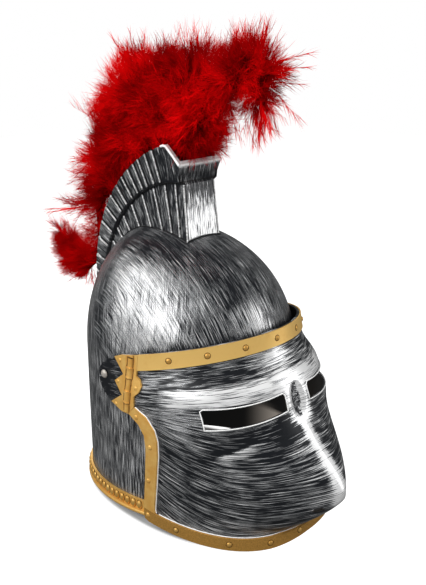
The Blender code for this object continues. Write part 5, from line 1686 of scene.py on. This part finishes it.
# %% [markdown]
# Plume
# The plume is marabou down: thousands of soft barbs that leave short quills. Hair could be grown on it,
# but only plain faces can be kept, so tufts of thin ribbons stand round a core that is painted dark as
# the shade inside the down. The core is the plume's imported solid, relaxed a little and drawn in where it
# is thick.

# %% Make the plume's core
CORE_INSET, MOUTH_INSET, INSET_SHARE = 8.0, 0.5, 0.3
MOUTH_END_Y, MOUTH_TOP_Z = 30.0, 368.0
# spots of painted light and shade on the down, lighter or darker by place
PLUME_LIGHT_AND_SHADE_SPOTS = (
    SPOT_COLUMNS,
    (0.0, 80.0, 420.0, 40.0, 26.0, 26.0, 0.35),
    (-20.0, -45.0, 420.0, 30.0, 22.0, 34.0, 0.4),
    (-20.0, 86.0, 345.0, 30.0, 18.0, 24.0, -0.35),
    (-10.0, 20.0, 440.0, 30.0, 18.0, 12.0, -0.3),
    (-10.0, -60.0, 440.0, 40.0, 40.0, 20.0, -0.35),
    (-10.0, 60.0, 444.0, 40.0, 60.0, 20.0, -0.2),
    (-10.0, 40.0, 360.0, 40.0, 60.0, 18.0, 0.15),
)


def down_finish(name, dark, bright):
    """Red down: painted shade towards the roots, painted light at the tips, uneven from tuft to tuft."""
    paint = Finish(name)
    cloud = paint.noise(paint.place, 26.0, 3.0, 0.6)
    level = paint.math("MULTIPLY_ADD", paint.stored("shade"), 0.6, paint.math("MULTIPLY", cloud, 0.75))
    level = paint.math("ADD", level, paint.math("MULTIPLY", paint.stored("tip"), 0.22))
    paint.set("Base Color", paint.mix(paint.step(level, 0.3, 1.2), dark, bright))
    paint.set("Roughness", 0.75)
    paint.set("Specular IOR Level", 0.02)
    return paint.material


# the core is painted dark red as the shade inside the down
red_core = down_finish("red_core", (0.05, 0.0, 0.0, 1.0), (0.22, 0.0005, 0.001, 1.0))
red_down = down_finish("red_down", (0.15, 0.0, 0.0004, 1.0), (0.92, 0.002, 0.003, 1.0))


def make_core():
    """A copy of the plume's solid with its doubled points merged, drawn in where it is thick."""
    shape = bmesh.new()
    shape.from_mesh(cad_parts["plume"].data)
    bmesh.ops.remove_doubles(shape, verts=shape.verts, dist=0.00001)
    mesh = bpy.data.meshes.new("plume_core")
    shape.to_mesh(mesh)
    shape.free()
    core = add_object("plume_core", mesh)
    for number in range(2):
        relax = core.modifiers.new(f"relax_{number}", "SMOOTH")
        relax.factor = 0.5
        relax.iterations = 3
    keep_as_mesh(core)
    bpy.context.view_layer.update()
    places = head_points(core)
    normals = np.array([vertex.normal[:] for vertex in core.data.vertices])
    moved = []
    for place, normal in zip(places, normals):
        start = Vector(to_world(place)) - Vector(normal) * 0.0002
        hit, where, _, _ = core.ray_cast(start, -Vector(normal))
        thick = (where - start).length / MM if hit else CORE_INSET
        in_mouth = place[1] < MOUTH_END_Y and place[2] < MOUTH_TOP_Z
        inset = MOUTH_INSET if in_mouth else CORE_INSET
        moved.append(place - normal * min(inset, INSET_SHARE * thick))
    core.data.vertices.foreach_set("co", to_world(moved).ravel())
    core.data.update()
    return core


plume_core = make_core()
print("The core has", len(plume_core.data.vertices), "points")

# %% [markdown]
# One tuft
# A tuft is a bent quill with barbs on all sides, and each barb is a flat ribbon that narrows to nothing.
# A few kinds are made, with fixed seeds, so that the plume comes out the same each time. "tip" runs from 0
# at a barb's root to 1 at its end, for the colour.

# %% Make one tuft
BARBS, BARB_WIDE, QUILL_LONG = 22, 0.45, 24.0
BARB_TURN = 2.4  # radians from one barb to the next, so that they point to all sides
BARB_SHARES = (0.0, 0.33, 0.66, 1.0)
FIRST_TUFT_SEED = 100


def ribbon(points, faces, tips, track, wide, side):
    """A flat strip that narrows to nothing along its track."""
    start = len(points)
    for place, share in zip(track[:-1], BARB_SHARES[:-1]):
        half = 0.5 * wide * (1.0 - 0.55 * share) * side
        points += [place - half, place + half]
        tips += [share, share]
    points.append(track[-1])
    tips.append(1.0)
    for k in range(len(track) - 2):
        a = start + 2 * k
        faces.append((a, a + 1, a + 3, a + 2))
    a = start + 2 * (len(track) - 2)
    faces.append((a, a + 1, a + 2))


def tuft_shape(number, narrow=1.0):
    """A bent quill with barbs on all sides, in millimetres round the origin."""
    draw = np.random.default_rng(FIRST_TUFT_SEED + number)
    bend = draw.uniform(-0.35, 0.35, 2)
    points, faces, tips = [], [], []

    def quill(share):
        return np.array((bend[0] * share**2, bend[1] * share**2, share)) * QUILL_LONG

    middle = [quill(share) for share in BARB_SHARES]
    ribbon(points, faces, tips, middle, BARB_WIDE * 1.3, np.array((1.0, 0.0, 0.0)))
    for k in range(BARBS):
        share = 0.08 + 0.9 * k / BARBS
        turn = k * BARB_TURN + draw.uniform(-0.5, 0.5)
        spread = math.radians(draw.uniform(28.0, 62.0)) * (1.0 - 0.35 * share) * narrow
        long = QUILL_LONG * draw.uniform(0.35, 0.85) * (1.0 - 0.35 * share)
        out = np.array((math.cos(turn), math.sin(turn), 0.0))
        curl = draw.uniform(-0.25, 0.7)
        side = np.array((-math.sin(turn), math.cos(turn), 0.0))
        sway = draw.uniform(-0.35, 0.35)
        track = []
        for s in BARB_SHARES:
            open_out = math.sin(spread) * (s - 0.5 * curl * s**2)
            forward = math.cos(spread) * s + 0.45 * curl * s**2
            offset = out * open_out + side * sway * s**2 + np.array((0.0, 0.0, forward))
            track.append(quill(share) + long * offset)
        ribbon(points, faces, tips, track, BARB_WIDE * draw.uniform(0.6, 1.1), side)
    mesh = bpy.data.meshes.new(f"tuft_{number}")
    mesh.from_pydata([tuple(np.array(p) * MM) for p in points], [], faces)
    tuft = add_object(mesh.name, mesh)
    store(tuft, "tip", tips)
    tuft.hide_render = True
    return tuft


# %% [markdown]
# Places and aims of the tufts
# Points are spread evenly over the core, and each gets an aim and a size. Smooth random fields turn
# neighbours the same way, so the tufts lean together in clumps. Beside the crest they rise along its fan,
# and near a lock, which is a row of a short table, they turn to its tip.

# %% Spread and aim the tufts
LOCK_AIMS = (
    ("root_y", "root_z", "tip_y", "tip_z", "reach"),
    (-95.0, 430.0, -122.0, 434.0, 22.0),
    (-88.0, 440.0, -94.0, 462.0, 18.0),
    (-66.0, 438.0, -66.0, 460.0, 18.0),
    (-100.0, 408.0, -108.0, 384.0, 18.0),
    (-90.0, 404.0, -89.0, 376.0, 18.0),
    (-50.0, 404.0, -52.0, 378.0, 18.0),
    (-14.0, 435.0, -14.0, 460.0, 16.0),
    (70.0, 428.0, 74.0, 452.0, 18.0),
    (88.0, 418.0, 96.0, 436.0, 16.0),
    (118.0, 362.0, 128.0, 392.0, 12.0),
    (128.0, 352.0, 127.0, 412.0, 14.0),
    (132.0, 335.0, 164.0, 334.0, 18.0),
    (134.0, 318.0, 164.0, 312.0, 18.0),
    (142.0, 292.0, 168.0, 286.0, 16.0),
    (160.0, 282.0, 208.0, 272.0, 14.0),
    (176.0, 226.0, 210.0, 254.0, 22.0),
    (182.0, 216.0, 204.0, 226.0, 18.0),
    (180.0, 206.0, 196.0, 202.0, 18.0),
    (162.0, 206.0, 164.0, 190.0, 18.0),
)


def spread_points(piece, count, draw):
    """Points spread over a mesh in proportion to its area, with their normals."""
    piece.data.calc_loop_triangles()
    places = head_points(piece)
    corners = np.array([t.vertices[:] for t in piece.data.loop_triangles])
    a, b, c = places[corners[:, 0]], places[corners[:, 1]], places[corners[:, 2]]
    normal = np.cross(b - a, c - a)
    area = np.linalg.norm(normal, axis=1)
    pick = draw.choice(len(area), count, p=area / area.sum())
    u, v = draw.random(count), draw.random(count)
    flip = u + v > 1.0
    u, v = np.where(flip, 1.0 - u, u), np.where(flip, 1.0 - v, v)
    found = a[pick] + (b - a)[pick] * u[:, None] + (c - a)[pick] * v[:, None]
    return found, normal[pick] / area[pick][:, None]


def waves(places, shortest, longest, draw):
    """A smooth random field between about -1 and 1, so that neighbours agree."""
    total = np.zeros(len(places))
    for _ in range(8):
        way = draw.normal(size=3)
        way *= 2.0 * math.pi / (np.linalg.norm(way) * draw.uniform(shortest, longest))
        total += np.sin(places @ way + draw.uniform(0.0, 2.0 * math.pi))
    return total / 2.6


def over_lip(places):
    """How far each place stands out beyond the crest's lip, along the rays of the fan."""
    deg = np.degrees(np.arctan2(places[:, 2] - FAN_Z, places[:, 1] - FAN_Y))
    reach = np.hypot(places[:, 2] - FAN_Z, places[:, 1] - FAN_Y)
    lip = np.array([lip_reach(np.clip(d, CREST_END_DEG, CREST_FRONT_DEG)) for d in deg])
    return np.where(deg < CREST_END_DEG, 50.0, reach - lip)


def tuft_aims(places, normals, draw):
    """The direction and the size of the tuft on each place."""
    fan = places - (0.0, FAN_Y, FAN_Z)
    fan[:, 0] = 0.0
    fan = fan / np.linalg.norm(fan, axis=1, keepdims=True)
    lean = np.stack([waves(places, 22.0, 60.0, draw) for _ in range(3)], 1)
    aim = normals * 0.8 + fan * 0.3 + 0.5 * lean
    size = 0.8 + 0.16 * waves(places, 15.0, 40.0, draw)
    by_lip = ease(1.0 - over_lip(places) / 20.0)
    aim += by_lip[:, None] * (0.9 * fan - 0.7 * normals)
    size -= 0.3 * by_lip
    tail = ease((places[:, 1] - 168.0) / 14.0) * ease((300.0 - places[:, 2]) / 30.0)
    aim += 0.5 * tail[:, None] * normals
    for root_y, root_z, tip_y, tip_z, reach in LOCK_AIMS[1:]:
        root, tip = np.array((root_y, root_z)), np.array((tip_y, tip_z))
        along = tip - root
        share = np.clip(((places[:, 1:] - root) @ along) / (along @ along), 0.0, 1.0)
        far = np.linalg.norm(places[:, 1:] - root - share[:, None] * along, axis=1)
        pull = np.exp(-((far / reach) ** 2)) * (0.3 + 0.7 * share)
        aim[:, 1:] += 1.1 * pull[:, None] * along / np.linalg.norm(along)
        size -= 0.08 * pull
    aim += draw.normal(0.0, 0.22, aim.shape)
    return aim / np.linalg.norm(aim, axis=1, keepdims=True), np.clip(size, 0.5, 1.1)


print("The plume has", len(LOCK_AIMS) - 1, "locks")

# %% [markdown]
# The plume's down
# The tree that set the rivets also sets a tuft on each point. The tail and the crest's open front get
# more points, because the down is thicker there. Long narrow tufts carry each lock out to a thin tip.

# %% Grow the down
TUFT_KINDS, TUFTS, WISPS_PER_LOCK = 5, 6800, 9
DOWN_SEED, WISP_SEED = 7, 11
ROOT_DEPTH = 3.0


def grow_down():
    """A piece of down for each kind of tuft, so that each stays light."""
    draw = np.random.default_rng(DOWN_SEED)
    places, normals = spread_points(plume_core, int(TUFTS * 1.12), draw)
    kept = over_lip(places) > -1.0
    places, normals = places[kept], normals[kept]
    in_tail = (places[:, 1] > 160.0) & (places[:, 2] < 292.0)
    in_mouth = (places[:, 1] < 26.0) & (places[:, 2] < 376.0)
    more = np.concatenate([np.flatnonzero(in_tail), np.flatnonzero(in_tail | in_mouth)])
    places = np.concatenate([places[more], places])[:TUFTS]
    normals = np.concatenate([normals[more], normals])[:TUFTS]
    aims, sizes = tuft_aims(places, normals, draw)
    sizes = sizes * draw.uniform(0.65, 1.2, len(sizes))
    # uneven tone from tuft to tuft, with spots of painted light and shade added
    shade = 0.5 + 0.22 * waves(places, 14.0, 50.0, draw) + draw.normal(0.0, 0.1, len(sizes))
    shade = np.clip(shade + spots(places, PLUME_LIGHT_AND_SHADE_SPOTS), 0.0, 1.2)
    rolls = draw.uniform(0.0, 2.0 * math.pi, len(sizes))
    roots = places - aims * ROOT_DEPTH
    for number in range(TUFT_KINDS):
        part = np.arange(number, len(places), TUFT_KINDS)
        tuft = tuft_shape(number)
        copies(
            f"plume_down_{number + 1}", tuft, roots[part], aims[part], red_down, "helmet",
            sizes=sizes[part], rolls=rolls[part], extra={"shade": shade[part]},
        )
        bpy.data.objects.remove(tuft)


def add_wisps():
    """Long narrow tufts that carry each lock out to a thin tip."""
    draw = np.random.default_rng(WISP_SEED)
    places, aims, sizes = [], [], []
    for root_y, root_z, tip_y, tip_z, _ in LOCK_AIMS[1:]:
        root = np.array((0.0, root_y, root_z))
        along = np.array((0.0, tip_y, tip_z)) - root
        long = np.linalg.norm(along)
        for _ in range(WISPS_PER_LOCK):
            share = draw.uniform(-0.2, 0.35)
            places.append(root + along * share + draw.normal(0.0, 4.5, 3))
            aim = along + draw.normal(0.0, 0.16, 3) * long
            aims.append(aim / np.linalg.norm(aim))
            left = long * (1.0 - share) + 3.0
            sizes.append(np.clip(left / QUILL_LONG, 0.7, 1.5))
    tuft = tuft_shape(TUFT_KINDS, 0.5)
    rolls = draw.uniform(0.0, 2.0 * math.pi, len(sizes))
    shade = draw.uniform(0.4, 0.9, len(sizes))
    copies(
        "plume_wisps", tuft, places, aims, red_down, "helmet",
        sizes=sizes, rolls=rolls, extra={"shade": shade},
    )
    bpy.data.objects.remove(tuft)


grow_down()
add_wisps()
# the core gets a low shade value and the dark core finish, as painted shade
store(plume_core, "shade", np.full(len(plume_core.data.vertices), 0.3))
store(plume_core, "tip", np.zeros(len(plume_core.data.vertices)))
finish_piece(plume_core, red_core, 180.0, "helmet", "plume")

# %% [markdown]
# Light
# The photograph was lit by a large soft light on the helmet's right and a smaller one in front, with dark
# between them: that is what makes painted plastic look like metal. Each light is a row of a table, and one
# more small lamp shows the inside through the slits.

# %% Set the lights
LIGHTS = (
    ("name", "turn_deg", "up_deg", "far", "wide", "high", "power", "seen_in_gloss"),
    ("large_soft_light", -105.0, 29.0, 1.1, 1.5, 0.85, 5.6, True),
    ("front_soft_light", 40.0, 6.0, 1.1, 0.36, 0.78, 1.65, True),
    ("side_fill_light", -78.0, 30.0, 1.4, 0.8, 0.8, 17.0, False),
    ("right_fill_light", 15.0, 26.0, 1.4, 0.8, 0.8, 10.0, False),
    ("top_fill_light", -30.0, 70.0, 1.3, 0.9, 0.9, 3.5, False),
    ("rear_soft_light", 150.0, 25.0, 1.3, 0.7, 0.7, 3.0, True),
)
AIM_AT = Vector((0.0, 0.0, 0.22))


def set_lights():
    for name, turn_deg, up_deg, far, wide, high, power, seen_in_gloss in LIGHTS[1:]:
        turn, up = math.radians(turn_deg), math.radians(up_deg)
        from_aim = Vector((math.sin(turn) * math.cos(up), -math.cos(turn) * math.cos(up), math.sin(up)))
        lamp = bpy.data.lights.new(name, "AREA")
        lamp.shape = "RECTANGLE"
        lamp.size, lamp.size_y, lamp.energy = wide, high, power
        light = add_object(name, lamp)
        light.location = AIM_AT + from_aim * far
        light.rotation_euler = from_aim.to_track_quat("Z", "Y").to_euler()
        light.visible_glossy = seen_in_gloss


def light_inside():
    lamp = bpy.data.lights.new("inside_light", "AREA")
    lamp.size, lamp.energy = 0.05, 0.12
    light = add_object("inside_light", lamp)
    light.location = (-0.045, -0.03, 0.03)
    light.rotation_euler = Vector((-1.0, 0.0, -0.1)).to_track_quat("Z", "Y").to_euler()
    light.visible_glossy = False


set_lights()
light_inside()
print("The helmet is lit by", len(LIGHTS), "lamps")

# %% [markdown]
# Backdrop and floor
# The camera sees a plain white backdrop, and the metal reflects a dim grey one, so it keeps its dark sides.
# The floor shines as white as the backdrop, but for a soft-edged painted shadow under the helmet.

# %% Set the backdrop and the floor
FLOOR_HALF, FLOOR_Z = 3.0, -0.0006
SHADOW_HALF_WIDTH, SHADOW_HALF_LENGTH, SHADOW_MIDDLE_Y, SHADOW_POWER = 0.106, 0.138, -0.02, 2.35


def set_world():
    world = bpy.data.worlds.new("studio")
    bpy.context.scene.world = world
    world.use_nodes = True
    tree = world.node_tree
    seen, lit = tree.nodes["Background"], tree.nodes.new("ShaderNodeBackground")
    seen.inputs["Color"].default_value = (1.0, 1.0, 1.0, 1.0)
    lit.inputs["Color"].default_value = (0.97, 0.99, 1.0, 1.0)
    lit.inputs["Strength"].default_value = 0.085
    path, both = tree.nodes.new("ShaderNodeLightPath"), tree.nodes.new("ShaderNodeMixShader")
    tree.links.new(path.outputs["Is Camera Ray"], both.inputs[0])
    tree.links.new(lit.outputs[0], both.inputs[1])
    tree.links.new(seen.outputs[0], both.inputs[2])
    tree.links.new(both.outputs[0], tree.nodes["World Output"].inputs["Surface"])


def make_floor():
    """A floor that shines white: "far" is 0 at the middle of its oval of painted shadow and 1 at the oval's
    edge.
    """
    mesh = bpy.data.meshes.new("floor")
    signs = ((-1.0, -1.0), (1.0, -1.0), (1.0, 1.0), (-1.0, 1.0))
    corners = [(x * FLOOR_HALF, y * FLOOR_HALF, FLOOR_Z) for x, y in signs]
    mesh.from_pydata(corners, [], [(0, 1, 2, 3)])
    floor = add_object("floor", mesh)
    paint = Finish("pale_floor")
    squeezed = paint.add(
        "Mapping", Vector=paint.place, Location=(0.0, -SHADOW_MIDDLE_Y / SHADOW_HALF_LENGTH, 0.0),
        Scale=(1.0 / SHADOW_HALF_WIDTH, 1.0 / SHADOW_HALF_LENGTH, 0.0),
    ).outputs[0]
    parts = paint.add("SeparateXYZ", Vector=squeezed).outputs
    powers = [paint.math("POWER", paint.math("ABSOLUTE", parts[axis]), SHADOW_POWER) for axis in (0, 1)]
    far = paint.math("POWER", paint.math("ADD", *powers), 1.0 / SHADOW_POWER)
    # the glow fades out inside the oval, which paints a shadow under the helmet
    lit = paint.math("MULTIPLY", paint.step(far, 0.92, 0.98), paint.step(far, 0.94, 1.04, 0.88, 1.0))
    paint.set("Emission Strength", lit)
    paint.set("Base Color", (0.5, 0.5, 0.5, 1.0))
    paint.set("Roughness", 0.9)
    paint.set("Emission Color", (1.0, 1.0, 1.0, 1.0))
    mesh.materials.append(paint.material)
    floor.visible_glossy = False
    floor.visible_diffuse = False
    floor.visible_shadow = False


set_world()
make_floor()
bpy.context.scene.view_settings.view_transform = "Standard"
